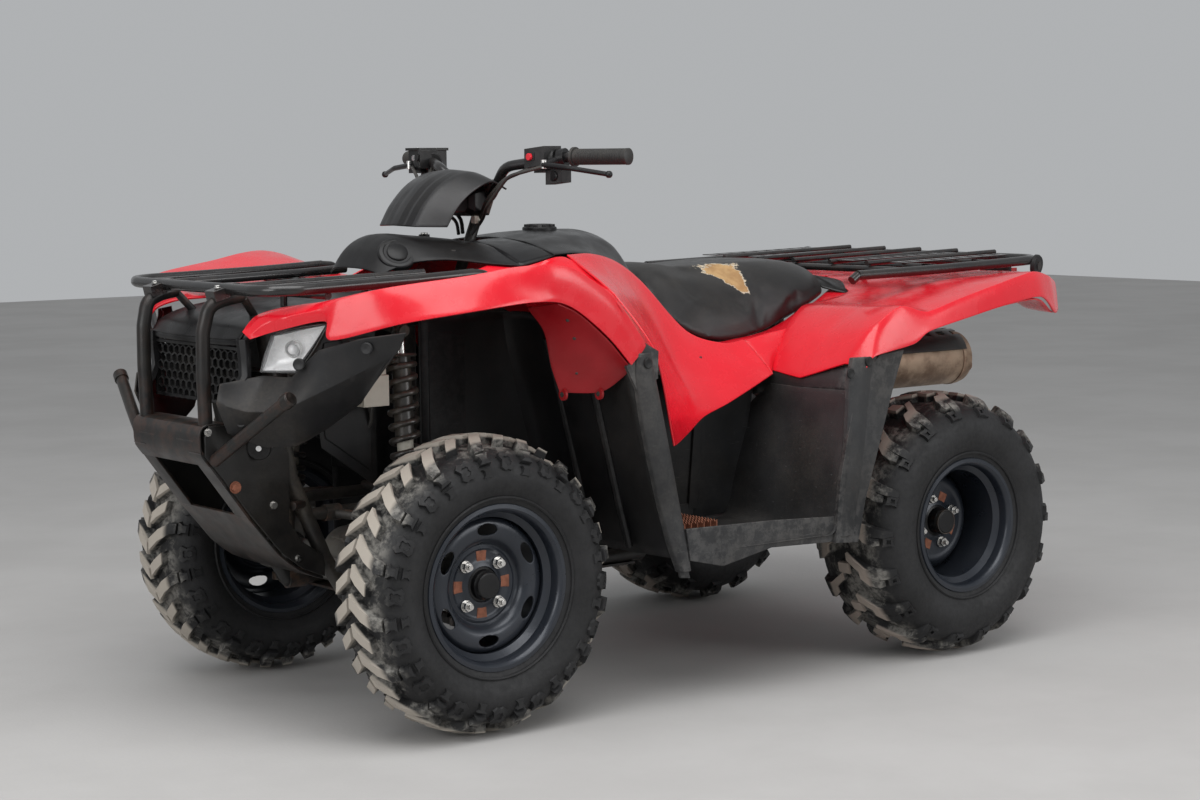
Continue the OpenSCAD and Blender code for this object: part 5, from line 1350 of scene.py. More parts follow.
# ---------------------------------------------------------------- tail and exhaust
def make_tail(looks):
    shape = Shape()
    for s in (1, -1):
        shape.block(at(-1671, s * 261, 835), (0.024, 0.090, 0.044), None, 0)
        for k in range(9):
            shape.block(at(-1684.2, s * (225 + k * 9), 835), (0.0014, 0.0040, 0.036), None, 0)
        shape.block(at(-1656, s * 261, 835), (0.008, 0.096, 0.050), None, 1)
        shape.tube(spread([(-1668, s * 261, 858), (-1676, s * 261, 880)]), 0.006, 0, 14, 1)
    shape.piece("tail_lamp_units", [looks["lamp_red"], looks["black"]], ["tail_lights"], "red_lens",
                edge=0.0025, sharp=40)
    shape = Shape()
    profile = [(0.0, -0.195), (0.050, -0.195), (0.062, -0.192), (0.065, -0.180), (0.065, 0.180),
               (0.062, 0.192), (0.040, 0.205), (0.028, 0.215), (0.0, 0.215)]
    shape.lathe([(max(r - 0.0005, 0), h) for r, h in profile], at(-1393, 192, 640), (1, 0, 0), 64, 0)
    for h in (-0.165, 0.150):
        shape.lathe([(0.062, h - 0.006), (0.066, h - 0.006), (0.066, h + 0.006), (0.062, h + 0.006)],
                    at(-1393, 192, 640), (1, 0, 0), 64, 0)
    shape.rod(at(-1580, 192, 622), at(-1628, 192, 618), 0.0165, 32, 0)
    shape.lathe([(0.0165, -0.001), (0.0165, 0.006), (0.0130, 0.006), (0.0130, -0.001)], at(-1628, 192, 618),
                (-1, 0, 0), 32, 0)
    shape.piece("muffler_can", [looks["muffler"]], ["muffler"], "rusty_steel", edge=0.001, sharp=35)
    # Perforated heat shield over the can.
    shape = Shape()
    rings = []
    for i in range(15):
        x = -1225 - i * 24
        rings.append([at(x, 192, 640) + Vector((0, math.sin(a), math.cos(a))) * 0.0715
                      for a in [math.radians(-62 + 12 * j) for j in range(12)]])
    n = len(rings[0])
    faces = []
    for i in range(len(rings) - 1):
        for j in range(n - 1):
            if i % 2 == 1 and 2 < j < 8 and j % 2 == 1:
                continue
            faces.append([i * n + j, i * n + j + 1, (i + 1) * n + j + 1, (i + 1) * n + j])
    shape.add([p for ring in rings for p in ring], faces, 0)
    shape.piece("muffler_shield", [looks["guard"]], thick=0.0016, edge=0.0006)
    shape = Shape()
    pipe = spread([(-690, 90, 560), (-800, 160, 608), (-986, 175, 624), (-1172, 190, 640)])
    shape.tube(pipe, 0.0185, 0.09, 22)
    for a, b in zip(pipe[1:], pipe[2:]):
        way = (b - a).normalized()
        mid = a.lerp(b, 0.4)
        shape.rod(mid - way * 0.008, mid + way * 0.008, 0.0215, 24)
    shape.piece("header_pipe", [looks["muffler"]], ["exhaust_pipe"], sharp=35)


# ---------------------------------------------------------------- saddle
SEAT_TOP = [
    [(-666, 0, 868), (-667, 78, 862), (-664, 128, 845), (-656, 160, 815)],
    [(-715, 0, 888), (-717, 98, 880), (-718, 150, 840), (-716, 198, 758)],
    [(-800, 0, 880), (-800, 108, 872), (-799, 170, 830), (-797, 208, 728)],
    [(-900, 0, 882), (-900, 110, 876), (-900, 175, 830), (-900, 208, 732)],
    [(-1015, 0, 886), (-1015, 113, 880), (-1015, 178, 838), (-1018, 202, 760)],
    [(-1120, 0, 883), (-1120, 112, 875), (-1120, 172, 846), (-1119, 196, 800)],
    [(-1192, 0, 868), (-1190, 98, 862), (-1184, 148, 848), (-1176, 176, 820)]]


def torn_vinyl():
    """Seat vinyl with a ragged tear on its near shoulder that shows the backing, with a frayed rim."""
    made, tree, face = shader("torn_seat_vinyl")
    space = object_space(tree)
    place = at(-907, 0, 880)
    half_long, half_wide, shoulder = 0.043, 0.086, 0.150
    spot = apart(tree, space)
    along = calc(tree, "DIVIDE", calc(tree, "SUBTRACT", spot["X"], place.x), half_long)
    down = calc(tree, "SUBTRACT", spot["Y"], calc(tree, "SUBTRACT", spot["Z"], place.z))
    across = calc(tree, "DIVIDE", calc(tree, "SUBTRACT", down, shoulder), half_wide)
    lean = calc(tree, "ADD", along, calc(tree, "MULTIPLY", across, 0.40))
    narrowing = calc(tree, "MAXIMUM", calc(tree, "ADD", calc(tree, "MULTIPLY", across, 0.7), 1.0), 0.55)
    lean = calc(tree, "MULTIPLY", lean, narrowing)
    reach = calc(tree, "SQRT", calc(tree, "ADD", calc(tree, "POWER", calc(tree, "ABSOLUTE", lean), 2.0),
                                    calc(tree, "POWER", calc(tree, "ABSOLUTE", across), 2.0)))
    ragged = noise(tree, space, 38.0, 7.0, 0.65)
    edge = calc(tree, "ADD", reach, calc(tree, "MULTIPLY", calc(tree, "SUBTRACT", ragged, 0.5), 1.5))
    inside = between(tree, edge, 0.86, 0.80)
    fray = between(tree, edge, 0.93, 0.87)
    vinyl = placed(tree, "patchy_colour", first=rgb(0.0095, 0.0095, 0.010), second=rgb(0.019, 0.019, 0.020),
                   scale=9.0)
    marks = placed(tree, "fine_scratches", amount=0.12, scale=26.0)
    vinyl = blend_colour(tree, marks, vinyl, rgb(0.09, 0.085, 0.08))
    backing = placed(tree, "patchy_colour", first=rgb(0.33, 0.19, 0.08), second=rgb(0.46, 0.29, 0.13),
                     scale=30.0)
    colour = blend_colour(tree, fray, vinyl, rgb(0.60, 0.52, 0.40))
    colour = blend_colour(tree, inside, colour, backing)
    film = placed(tree, "settled_dust", amount=0.05, settle=0.4, scale=8.0)
    tree.links.new(blend_colour(tree, film, colour, DUST), face.inputs["Base Color"])
    spots = noise(tree, space, 18.0, 6.0)
    shine = calc(tree, "ADD", between(tree, spots, 0.3, 0.7, 0.34, 0.46),
                 calc(tree, "MULTIPLY", fray, 0.45),
                 True)
    tree.links.new(shine, face.inputs["Roughness"])
    grain = calc(tree, "MULTIPLY", placed(tree, "moulded_grain", scale=900.0, depth=1.0), 0.25)
    height = calc(tree, "SUBTRACT", grain, calc(tree, "MULTIPLY", inside, 2.2))
    roughened(tree, face, height, 0.55, 0.0012)
    face.inputs["Specular IOR Level"].default_value = 0.45
    return made


PUFF_STEPS = 20
BASE_BAND, BASE_TOP = 0.012, 0.74


def puffed(made, cap):
    """Swells a closed cushion a little with a short cloth simulation; no point moves beyond cap."""
    mesh = made.data
    start = np.empty(len(mesh.vertices) * 3, np.float32)
    mesh.vertices.foreach_get("co", start)
    start = start.reshape(-1, 3)
    low = start[:, 2].min()
    hold = made.vertex_groups.new(name="rests")
    for i, p in enumerate(start):
        if p[2] < low + BASE_BAND or p[2] < BASE_TOP:
            hold.add([i], 1.0, "REPLACE")
    cloth = made.modifiers.new("stuffing", "CLOTH")
    cloth.settings.effector_weights.gravity = 0.0
    for label, value in (("use_pressure", True), ("uniform_pressure_force", 4.0),
                         ("vertex_group_mass", "rests"), ("quality", 6), ("tension_stiffness", 22.0),
                         ("compression_stiffness", 22.0), ("bending_stiffness", 6.0)):
        setattr(cloth.settings, label, value)
    cloth.point_cache.frame_start = 1
    cloth.point_cache.frame_end = PUFF_STEPS
    scene = bpy.context.scene
    for step in range(1, PUFF_STEPS + 1):
        scene.frame_set(step)
    moved = made.evaluated_get(bpy.context.evaluated_depsgraph_get()).to_mesh()
    after = np.empty(len(start) * 3, np.float32)
    moved.vertices.foreach_get("co", after)
    after = after.reshape(-1, 3)
    shift = after - start
    far = np.linalg.norm(shift, axis=1, keepdims=True)
    shift *= np.minimum(1.0, cap / np.maximum(far, 1e-9))
    made.modifiers.remove(cloth)
    mesh.vertices.foreach_set("co", (start + shift).astype(np.float32).ravel())
    mesh.update()
    scene.frame_set(1)


def make_seat(looks):
    shape = Shape()
    top = finer_net([spread(row) for row in whole(SEAT_TOP)], 6, 6, 0.0)
    low_net = [[(x, y * 0.97, row[3][2] - 8) for x, y, _ in row] for row in SEAT_TOP]
    low = finer_net([spread(row) for row in whole(low_net)], 6, 6, 0.0)
    n, m = len(top), len(top[0])
    heart = at(-930, 0, 800)

    def drawn_in(p):
        return heart + (p - heart) * 0.988

    points = [drawn_in(p) for row in top for p in row] + [drawn_in(p) for row in low for p in row]
    faces = net_faces(n, m, turned=True)
    faces += [[n * m + k for k in f[::-1]] for f in list(faces)]
    rim = ([(0, j) for j in range(m - 1)] + [(i, m - 1) for i in range(n - 1)]
           + [(n - 1, j) for j in range(m - 1, 0, -1)] + [(i, 0) for i in range(n - 1, 0, -1)])
    for (i, j), (k, h) in zip(rim, rim[1:] + rim[:1]):
        faces.append([i * m + j, k * m + h, n * m + k * m + h, n * m + i * m + j])
    shape.add(points, faces, 0)
    made = shape.piece("saddle_cover", [torn_vinyl()], ["seat"], "seat_vinyl")
    modifier(made, "even_skin", "REMESH", mode="VOXEL", voxel_size=0.006, use_smooth_shade=True)
    apply_all(made)
    puffed(made, 0.007)
    modifier(made, "relax", "SMOOTH", iterations=4, factor=0.5)
    modifier(made, "finer_skin", "SUBSURF", levels=1, render_levels=1)
    apply_all(made)
    made.data.shade_smooth()
    shape = Shape()
    for s in (1, -1):
        for x, z0 in ((-760, 694), (-1080, 700)):
            shape.rod(at(x, s * 115, z0), at(x, s * 115, z0 + 60), 0.010, 16)
    shape.piece("saddle_mounts", [looks["steel"]], sharp=35)


def apply_all(made):
    """Bakes the object's modifiers into its mesh."""
    shown = made.evaluated_get(bpy.context.evaluated_depsgraph_get())
    mesh = bpy.data.meshes.new_from_object(shown)
    made.modifiers.clear()
    made.data = mesh


# ---------------------------------------------------------------- cockpit
BAR = [(-316, 0, 1040), (-310, 42, 1048), (-290, 122, 1112), (-352, 260, 1131), (-398, 400, 1131)]


def along_bar(k, t):
    return at(*BAR[k]).lerp(at(*BAR[k + 1]), t)


def make_cockpit(looks):
    rubber, black, zinc, satin = looks["rubber"], looks["black"], looks["zinc"], looks["satin"]
    shape = Shape()
    left = spread(BAR)
    whole_bar = [Vector((p.x, -p.y, p.z)) for p in reversed(left[1:])] + left
    shape.tube(whole_bar, 0.011, 0.05, 20)
    shape.piece("handlebar_tube", [looks["rack"]], ["handlebar"], "frame_steel", body="steering",
                sharp=35)

    shape = Shape()
    a, b = along_bar(3, 0.1), at(*BAR[4])
    way = (b - a).normalized()
    ring = [(0.0172, 0.0)]
    for k in range(28):
        h = 0.010 + k * 0.0042
        ring += [(0.0165, h), (0.0168, h + 0.0006), (0.0168, h + 0.0026), (0.0160, h + 0.0032)]
    length = (b - a).length + 0.004
    ring = [(0.0165, 0.0), (0.0165, 0.009)] + [p for p in ring[1:] if p[1] < length - 0.012]
    ring += [(0.0165, length - 0.010), (0.0172, length - 0.008), (0.0172, length - 0.002),
             (0.014, length), (0.0, length), (0.0, 0.0)]
    shape.lathe(ring, a, way, 40)
    # Flange at the inner end.
    shape.lathe([(0.011, -0.002), (0.0205, -0.002), (0.0205, 0.004), (0.011, 0.004)], a, way, 40)
    shape.mirror().piece("handlebar_grips", [rubber], ["grips"], "grip_rubber", body="steering", sharp=50)

    # Switch housing with its stop button, lever perches and brake reservoir.
    shape = Shape()
    a, b = along_bar(2, 0.52), along_bar(2, 0.82)
    way = (b - a).normalized()
    span = (b - a).length
    shape.lathe([(0.011, 0.0), (0.019, 0.0), (0.0215, 0.003), (0.0215, span * 0.48), (0.0205, span * 0.49),
                 (0.0205, span * 0.51), (0.0215, span * 0.52), (0.0215, span - 0.003), (0.019, span),
                 (0.011, span)], a, way, 32, 0)
    lift = Vector((0, 0, 1))
    fore = Vector((1, 0, 0))
    mid = a.lerp(b, 0.5)
    turn = Matrix((fore, way, lift)).transposed()
    shape.block(mid + fore * 0.012 + lift * 0.0065, (0.046, span * 1.02, 0.040), turn, 0)
    shape.block(mid - fore * 0.004 - lift * 0.012, (0.034, span * 0.90, 0.024), turn, 0)
    shape.block(mid + fore * 0.0355 + lift * 0.008 - way * 0.008, (0.004, 0.020, 0.016), turn, 2)
    shape.rod(mid + fore * 0.036 + lift * 0.008 - way * 0.008,
              mid + fore * 0.042 + lift * 0.008 - way * 0.008, 0.0075, 24, 1)
    under = mid + way * 0.026 - lift * 0.036
    shape.block(under, (0.026, 0.038, 0.032), turn, 0)
    shape.rod(under + fore * 0.012, under + fore * 0.016, 0.011, 24, 2)
    shape.block(mid - fore * 0.022 + way * 0.004, (0.004, 0.012, 0.007), turn, 2)
    shape.rod(mid - fore * 0.020 - way * 0.012 + lift * 0.004,
              mid - fore * 0.025 - way * 0.012 + lift * 0.004, 0.0042, 16, 2)
    p0, p1 = along_bar(2, 0.86), along_bar(2, 0.97)
    pw = (p1 - p0).normalized()
    pl = (p1 - p0).length
    shape.lathe([(0.011, 0.0), (0.0195, 0.0), (0.0195, pl), (0.011, pl)], p0, pw, 28, 2)
    perch = along_bar(2, 0.91)
    root = perch + Vector((0.052, 0.002, -0.014))
    shape.tube([perch, perch + Vector((0.030, 0.001, -0.008)), root], 0.0072, 0, 14, 2)
    shape.rod(perch + Vector((0.050, 0.002, -0.022)), perch + Vector((0.050, 0.002, -0.004)), 0.0065, 16, 3)
    shape.mirror()
    half = len(shape.marks) // 2
    shape.marks[half:] = [2 if mark == 1 else mark for mark in shape.marks[half:]]
    shape.piece("handlebar_controls", [black, looks["button"], satin, zinc], ["controls"],
                body="steering", edge=0.0012, sharp=35)

    shape = Shape()
    tip = at(-338, 412, 1095)
    knee = at(-302, 320, 1109)
    shape.tube([root, knee, tip], 0.0062, 0.05, 14, 0, 0.0050)
    shape.ball(tip, 0.0078, 0)
    shape.mirror().piece("brake_levers", [satin], ["brake_levers"], body="steering", sharp=40)

    # Reservoir on the right bar.
    shape = Shape()
    cx, cy, cz = -334, -236, 1138
    shape.prism([at(cx - 36, cy - 22, cz - 40), at(cx + 34, cy - 22, cz - 40),
                 at(cx + 36, cy + 24, cz - 40),
                 at(cx - 38, cy + 24, cz - 40)], (0, 0, 0.050))
    shape.prism([at(cx - 41, cy - 27, cz + 10), at(cx + 39, cy - 27, cz + 10),
                 at(cx + 39, cy + 27, cz + 10),
                 at(cx - 41, cy + 27, cz + 10)], (0, 0, 0.006))
    for u in (-26, 24):
        shape.rod(at(cx + u, cy, cz + 15), at(cx + u, cy, cz + 16.6), 0.0038, 12, 1)
    shape.rod(at(cx + 36.4, cy + 2, cz - 6), at(cx + 37.6, cy + 2, cz - 6), 0.0065, 20, 2)
    shape.piece("brake_reservoir", [satin, zinc, looks["lens"]], body="steering", edge=0.003, sharp=35)

    # Cowl in dark plastic with two lighter stripes and a lighter facet on each side.
    shape = Shape()
    fine = finer_net([spread(row) for row in whole(COWL_NET)], 8, 10, 0.7, 0.0)
    n, m = len(fine), len(fine[0])
    shape.add([p for row in fine for p in row], net_faces(n, m, turned=True))
    shape.marks = []
    for i in range(n - 1):
        for j in range(m - 1):
            y = abs(fine[i][j].y + fine[i][j + 1].y) / 2 * 1000
            shape.marks.append(0 if 14 < y < 31 or 40 < y < 58 else 1)
    shape.piece("handlebar_cowl", [satin, looks["stripe"]], ["handlebar_cover"], body="steering",
                thick=WALL, edge=0.0010)

    # Cushion over the bend of the bar, and the hanging display housing with its clear connector.
    shape = Shape()
    rings = []
    for y, w, h, x, z in ((-72, 14, 12, -300, 1078), (-40, 22, 18, -312, 1064), (0, 26, 20, -318, 1058),
                          (40, 22, 18, -312, 1064), (72, 14, 12, -300, 1078)):
        rings.append([at(x + math.cos(a) * w, y, z + math.sin(a) * h)
                      for a in [math.pi / 6 * k for k in range(12)]])
    shape.loft(rings)
    shape.piece("bar_bend_cover", [rubber], body="steering", smooth_steps=1)
    shape = Shape()
    rings = []
    for x, w, z0, z1 in ((-300, 42, 1010, 1066), (-286, 50, 1006, 1070), (-262, 50, 1008, 1066),
                         (-250, 40, 1016, 1056)):
        rings.append([at(x, -w, z0 + 10), at(x, -w + 10, z0), at(x, w - 10, z0), at(x, w, z0 + 10),
                      at(x, w, z1 - 10), at(x, w - 10, z1), at(x, -w + 10, z1), at(x, -w, z1 - 10)])
    shape.loft(rings, 0)
    shape.block(at(-302, 0, 1040), (0.003, 0.070, 0.036), None, 1)
    shape.block(at(-276, 34, 1000), (0.018, 0.014, 0.018), None, 2)
    shape.piece("display_housing", [satin, looks["lens"], looks["tank"]], body="steering", edge=0.002)

    # Round cap on the pod's near flank, ignition switch and panel screws.
    shape = Shape()
    place, out = at(-36, 90, 938), Vector((0.25, 0.70, 0.66)).normalized()
    shape.lathe([(0.0, -0.012), (0.040, -0.012), (0.040, -0.002), (0.0375, 0.001), (0.030, 0.002),
                 (0.028, 0.0005), (0.0, 0.0005)], place, out, 56, 0)
    shape.lathe([(0.0, -0.002), (0.022, -0.002), (0.022, 0.003), (0.019, 0.005), (0.0, 0.005)], place, out,
                40, 0)
    for x, y, z in ((-150, 128, 938), (-150, -128, 938), (-226, 168, 924), (-226, -168, 924)):
        shape.rod(at(x, y, z - 4), at(x, y, z + 3), 0.0062, 20, 1)
    shape.rod(at(-205, -60, 955), at(-205, -60, 968), 0.012, 24, 0)
    shape.rod(at(-205, -60, 968), at(-205, -60, 972), 0.008, 20, 2)
    shape.piece("pod_caps", [satin, looks["rubber"], zinc], edge=0.0008, sharp=35)

    # Fuel cap with a ribbed grip.
    shape = Shape()
    base = at(-470, 0, 970.5)
    shape.lathe([(0.0, 0.0), (0.038, 0.0), (0.038, 0.007), (0.036, 0.009), (0.0, 0.009)], base, (0, 0, 1),
                60)
    shape.lathe([(0.0, 0.008), (0.031, 0.008), (0.028, 0.015), (0.0, 0.015)], base, (0, 0, 1), 60)
    for k in range(10):
        a = math.pi / 5 * k
        shape.block(base + Vector((math.cos(a) * 0.031, math.sin(a) * 0.031, 0.0105)),
                    (0.006, 0.008, 0.008),
                    Matrix.Rotation(a, 3, "Z"))
    shape.piece("fuel_cap_knob", [black], ["fuel_cap"], edge=0.0012, sharp=35)

    # Cables from the controls to the column.
    shape = Shape()
    for s in (1, -1):
        shape.tube(spread([(-318, s * 190, 1112), (-275, s * 140, 1086), (-262, s * 90, 1040),
                           (-286, s * 36, 1004), (-276, s * 17, 970)]), 0.0042, 0.05, 12)
        shape.tube(spread([(-300, s * 244, 1112), (-262, s * 170, 1092), (-250, s * 110, 1030),
                           (-282, s * 48, 998), (-270, s * 24, 968)]), 0.0038, 0.05, 12)
    shape.piece("control_cables", [rubber], body="steering", sharp=60)


# ---------------------------------------------------------------- suspension
END_PITCH = 0.45


def coil(shape, a, b, r, wire, turns):
    """A helical spring between a and b, its end turns closed up."""
    way = (b - a).normalized()
    one = way.orthogonal().normalized()
    two = way.cross(one)
    length = (b - a).length
    steps = int(turns * 22)
    path = []
    for i in range(steps + 1):
        t = i / steps
        k = t * turns
        if k < 1:
            h = t * END_PITCH
        elif k > turns - 1:
            h = 1 - (1 - t) * END_PITCH
        else:
            u = (k - 1) / (turns - 2)
            e = END_PITCH / turns
            h = e + (1 - 2 * e) * u
        spin = 2 * math.pi * k
        out = (one * math.cos(spin) + two * math.sin(spin)) * r
        path.append(a + way * (wire + (length - 2 * wire) * h) + out)
    shape.loft(rings_along(path, [wire] * len(path), 8))


def strut(shape, foot, head, t0, t1):
    """A damper with its threaded body, spring seats, dust shaft and end eyes."""
    way = (head - foot).normalized()
    low, high = foot.lerp(head, t0), foot.lerp(head, t1)
    shape.rod(foot + way * 0.010, low, 0.0150, 24, 0)
    shape.rod(low, foot.lerp(head, t0 + (t1 - t0) * 0.45), 0.0165, 24, 1)
    shape.rod(foot.lerp(head, t0 + (t1 - t0) * 0.45), high, 0.0195, 24, 3)
    shape.lathe([(0.012, -0.006), (0.032, -0.006), (0.033, -0.003), (0.030, 0.000), (0.012, 0.000)], low,
                way,
                36, 3)
    shape.lathe([(0.008, 0.000), (0.030, 0.000), (0.033, 0.003), (0.032, 0.006), (0.008, 0.008)], high, way,
                36, 3)
    shape.rod(high + way * 0.006, head - way * 0.012, 0.012, 20, 2)
    fore = Vector((1, 0, 0))
    for p in (foot, head):
        shape.lathe([(0.006, -0.012), (0.0145, -0.012), (0.0145, 0.012), (0.006, 0.012)], p, fore, 28, 3)
        shape.lathe([(0.0, -0.015), (0.007, -0.015), (0.007, 0.015), (0.0, 0.015)], p, fore, 6, 2)


def boot(shape, a, b, r0, r1, folds):
    """A bellows boot between a and b, from radius r0 to r1."""
    way = (b - a).normalized()
    length = (b - a).length
    outline = [(0.010, 0.0)]
    for k in range(folds * 2 + 1):
        t = k / (folds * 2)
        r = r0 + (r1 - r0) * t
        outline.append((r if k % 2 == 0 else r * 0.78, length * t))
    outline.append((0.010, length))
    shape.lathe(outline, a, way, 36)


def make_suspension(looks):
    steel, spring, zinc, rubber, alloy = (looks["steel"], looks["spring"], looks["zinc"], looks["rubber"],
                                          looks["alloy"])
    foot, head = at(44, 250, 229), at(32, 196, 789)
    rear_foot, rear_head = at(-1130, 0, 300), at(-960, 0, 698)
    shape = Shape()
    strut(shape, foot, head, 0.37, 0.9)
    shape.mirror()
    strut(shape, rear_foot, rear_head, 0.26, 0.86)
    shape.piece("damper_bodies", [steel, looks["tank"], zinc, spring], ["shock_absorbers"],
                "bright_steel", sharp=40)
    shape = Shape()
    coil(shape, foot.lerp(head, 0.37), foot.lerp(head, 0.9), 0.0268, 0.0064, 11.0)
    shape.mirror()
    coil(shape, rear_foot.lerp(rear_head, 0.26), rear_foot.lerp(rear_head, 0.86), 0.0262, 0.0066, 8.5)
    shape.piece("coil_springs", [spring], ["springs"], "spring_steel", sharp=60)

    shape = Shape()
    # Boots at both ends of each half shaft, then the bolts of the arms and the final drive.
    boot(shape, at(0, 74, HUB_Z), at(0, 128, HUB_Z), 0.030, 0.017, 4)
    boot(shape, at(0, 321, HUB_Z), at(0, 267, HUB_Z), 0.030, 0.017, 4)
    shape.mirror().piece("drive_shaft_boots", [rubber], sharp=50)
    shape = Shape()
    for s in (1, -1):
        for x, y, z, w, r in ((124, 115, 250, (1, 0, 0), 0.008), (-124, 115, 250, (-1, 0, 0), 0.008),
                              (170, 115, 420, (1, 0, 0), 0.0075), (-170, 115, 420, (-1, 0, 0), 0.0075)):
            shape.bolt(at(x, s * y, z), w, r)
        for k in range(6):
            a = math.pi / 3 * k
            shape.bolt(at(math.cos(a) * 48, s * 75.5, HUB_Z + math.sin(a) * 48), (0, s, 0), 0.0052)
    shape.piece("suspension_bolts", [zinc], sharp=30)
    # Ribs and filler cap cast on the front final drive.
    shape = Shape()
    for k in range(8):
        a = math.pi / 4 * k
        mid = at(math.cos(a) * 58, 0, HUB_Z + math.sin(a) * 58)
        shape.block(mid, (0.010, 0.120, 0.006), Matrix.Rotation(-a, 3, "Y"))
    shape.rod(at(40, 0, 338), at(52, 0, 350), 0.012, 6)
    shape.piece("final_drive_ribs", [alloy], edge=0.001, sharp=35)

    # Brake shield with its bolts at each front knuckle.
    for s, side in ((1, "left"), (-1, "right")):
        shape = Shape()
        profile = [(0.020, -0.020), (0.060, -0.018), (0.070, -0.010), (0.070, 0.004), (0.055, 0.010),
                   (0.020, 0.012)]
        shape.lathe(profile, at(0, s * 362, HUB_Z), (0, s, 0), 56, 0)
        for k in range(5):
            a = 0.6 + k * 1.256
            shape.bolt(at(math.cos(a) * 46, s * 342, HUB_Z + math.sin(a) * 46), (0, -s, 0), 0.0045, 1)
        shape.piece(f"knuckle_{side}_brake_shield", [alloy, zinc], body=f"knuckle_{side}_body", sharp=35,
                    edge=0.0008)


def make_drive(looks):
    alloy, steel, zinc = looks["alloy"], looks["steel"], looks["zinc"]
    shape = Shape()
    # Crankcase: a rounded casting that narrows to the bottom and the ends.
    rings = []
    flank = [(118, 40, 30, 300, 470), (96, 14, 10, 276, 500), (60, 4, 2, 270, 520)]
    c = 34
    for y, dx0, dx1, z0, z1 in ([(-y, *rest) for y, *rest in flank] + [(0, 2, 2, 269, 524)] + flank[::-1]):
        x0, x1 = -688 + dx0, -407 - dx1
        rings.append([at(x0, y, z0 + c), at(x0 + c, y, z0), at(x1 - c, y, z0), at(x1, y, z0 + c),
                      at(x1, y, z1 - c * 1.6), at(x1 - c, y, z1), at(x0 + c, y, z1 - 26),
                      at(x0, y, z1 - 60)])
    shape.loft(rings, 0)
    # Clutch and generator covers with their bolts, on both flanks.
    for s in (1, -1):
        for x, z, r in ((-478, 352, 74), (-600, 368, 62)):
            wide = r / 1000
            shape.lathe([(0.0, 0.0), (wide, 0.0), (wide, 0.010), (wide * 0.93, 0.016),
                         (wide * 0.5, 0.020), (0.0, 0.020)], at(x, s * 103, z), (0, s, 0), 48, 0)
            for k in range(7):
                a = 2 * math.pi * k / 7 + 0.3
                shape.bolt(at(x + math.cos(a) * r * 0.9, s * 113, z + math.sin(a) * r * 0.9), (0, s, 0),
                           0.0042, 1)
    # Finned cylinder and head leaning forward.
    lean = Matrix.Rotation(math.radians(12), 3, "Y")
    base = at(-520, 0, 505)
    for k in range(9):
        mid = base + lean @ Vector((0, 0, 0.006 + k * 0.0085))
        shape.block(mid, (0.150 - 0.006 * (k % 2), 0.158 - 0.006 * (k % 2), 0.0028), lean, 0)
    shape.block(base + lean @ Vector((0, 0, 0.040)), (0.112, 0.120, 0.084), lean, 0)
    shape.block(base + lean @ Vector((0, 0, 0.088)), (0.120, 0.126, 0.018), lean, 0)
    for u in (-0.045, 0.045):
        for v in (-0.050, 0.050):
            shape.bolt(base + lean @ Vector((u, v, 0.097)), lean @ Vector((0, 0, 1)), 0.0055, 1)
    # Starter, intake and oil filter.
    shape.rod(at(-440, -70, 512), at(-440, 40, 512), 0.030, 32, 0)
    shape.tube(spread([(-560, 0, 560), (-610, 10, 590), (-660, 20, 596)]), 0.024, 0.04, 20, 2)
    shape.rod(at(-412, 50, 330), at(-404, 50, 330), 0.030, 32, 2)
    shape.piece("engine_castings", [alloy, zinc, steel], ["engine"], "cast_metal", edge=0.0015, sharp=35)

    # Radiator with its fins, side tanks and fan ring.
    shape = Shape()
    for k in range(46):
        shape.block(at(256, 0, 524 + k * 4.0), (0.034, 0.176, 0.0010), None, 0)
    for y in (-94, 94):
        shape.block(at(256, y, 615), (0.038, 0.009, 0.188), None, 1)
    for z in (521, 709):
        shape.block(at(256, 0, z), (0.036, 0.190, 0.004), None, 1)
    shape.block(at(254, 0, 615), (0.004, 0.176, 0.180), None, 0)
    shape.lathe([(0.070, 0.0), (0.076, 0.0), (0.076, 0.006), (0.070, 0.006)], at(238, 0, 615), (-1, 0, 0),
                48, 1)
    shape.piece("radiator_core", [looks["core"], looks["steel"]], ["radiator"], sharp=30)


def serrated(shape, y0, y1, x, z, thick, high):
    """An upright strip with saw teeth along its top edge."""
    outline = [at(x, y0, z), at(x, y1, z)]
    teeth = 18
    step = (y1 - y0) / teeth
    for k in range(teeth, 0, -1):
        outline.append(at(x, y0 + step * k, z + high))
        outline.append(at(x, y0 + step * (k - 0.5), z + high - 5))
    outline.append(at(x, y0, z + high))
    shape.prism(outline, (thick / 1000, 0, 0))


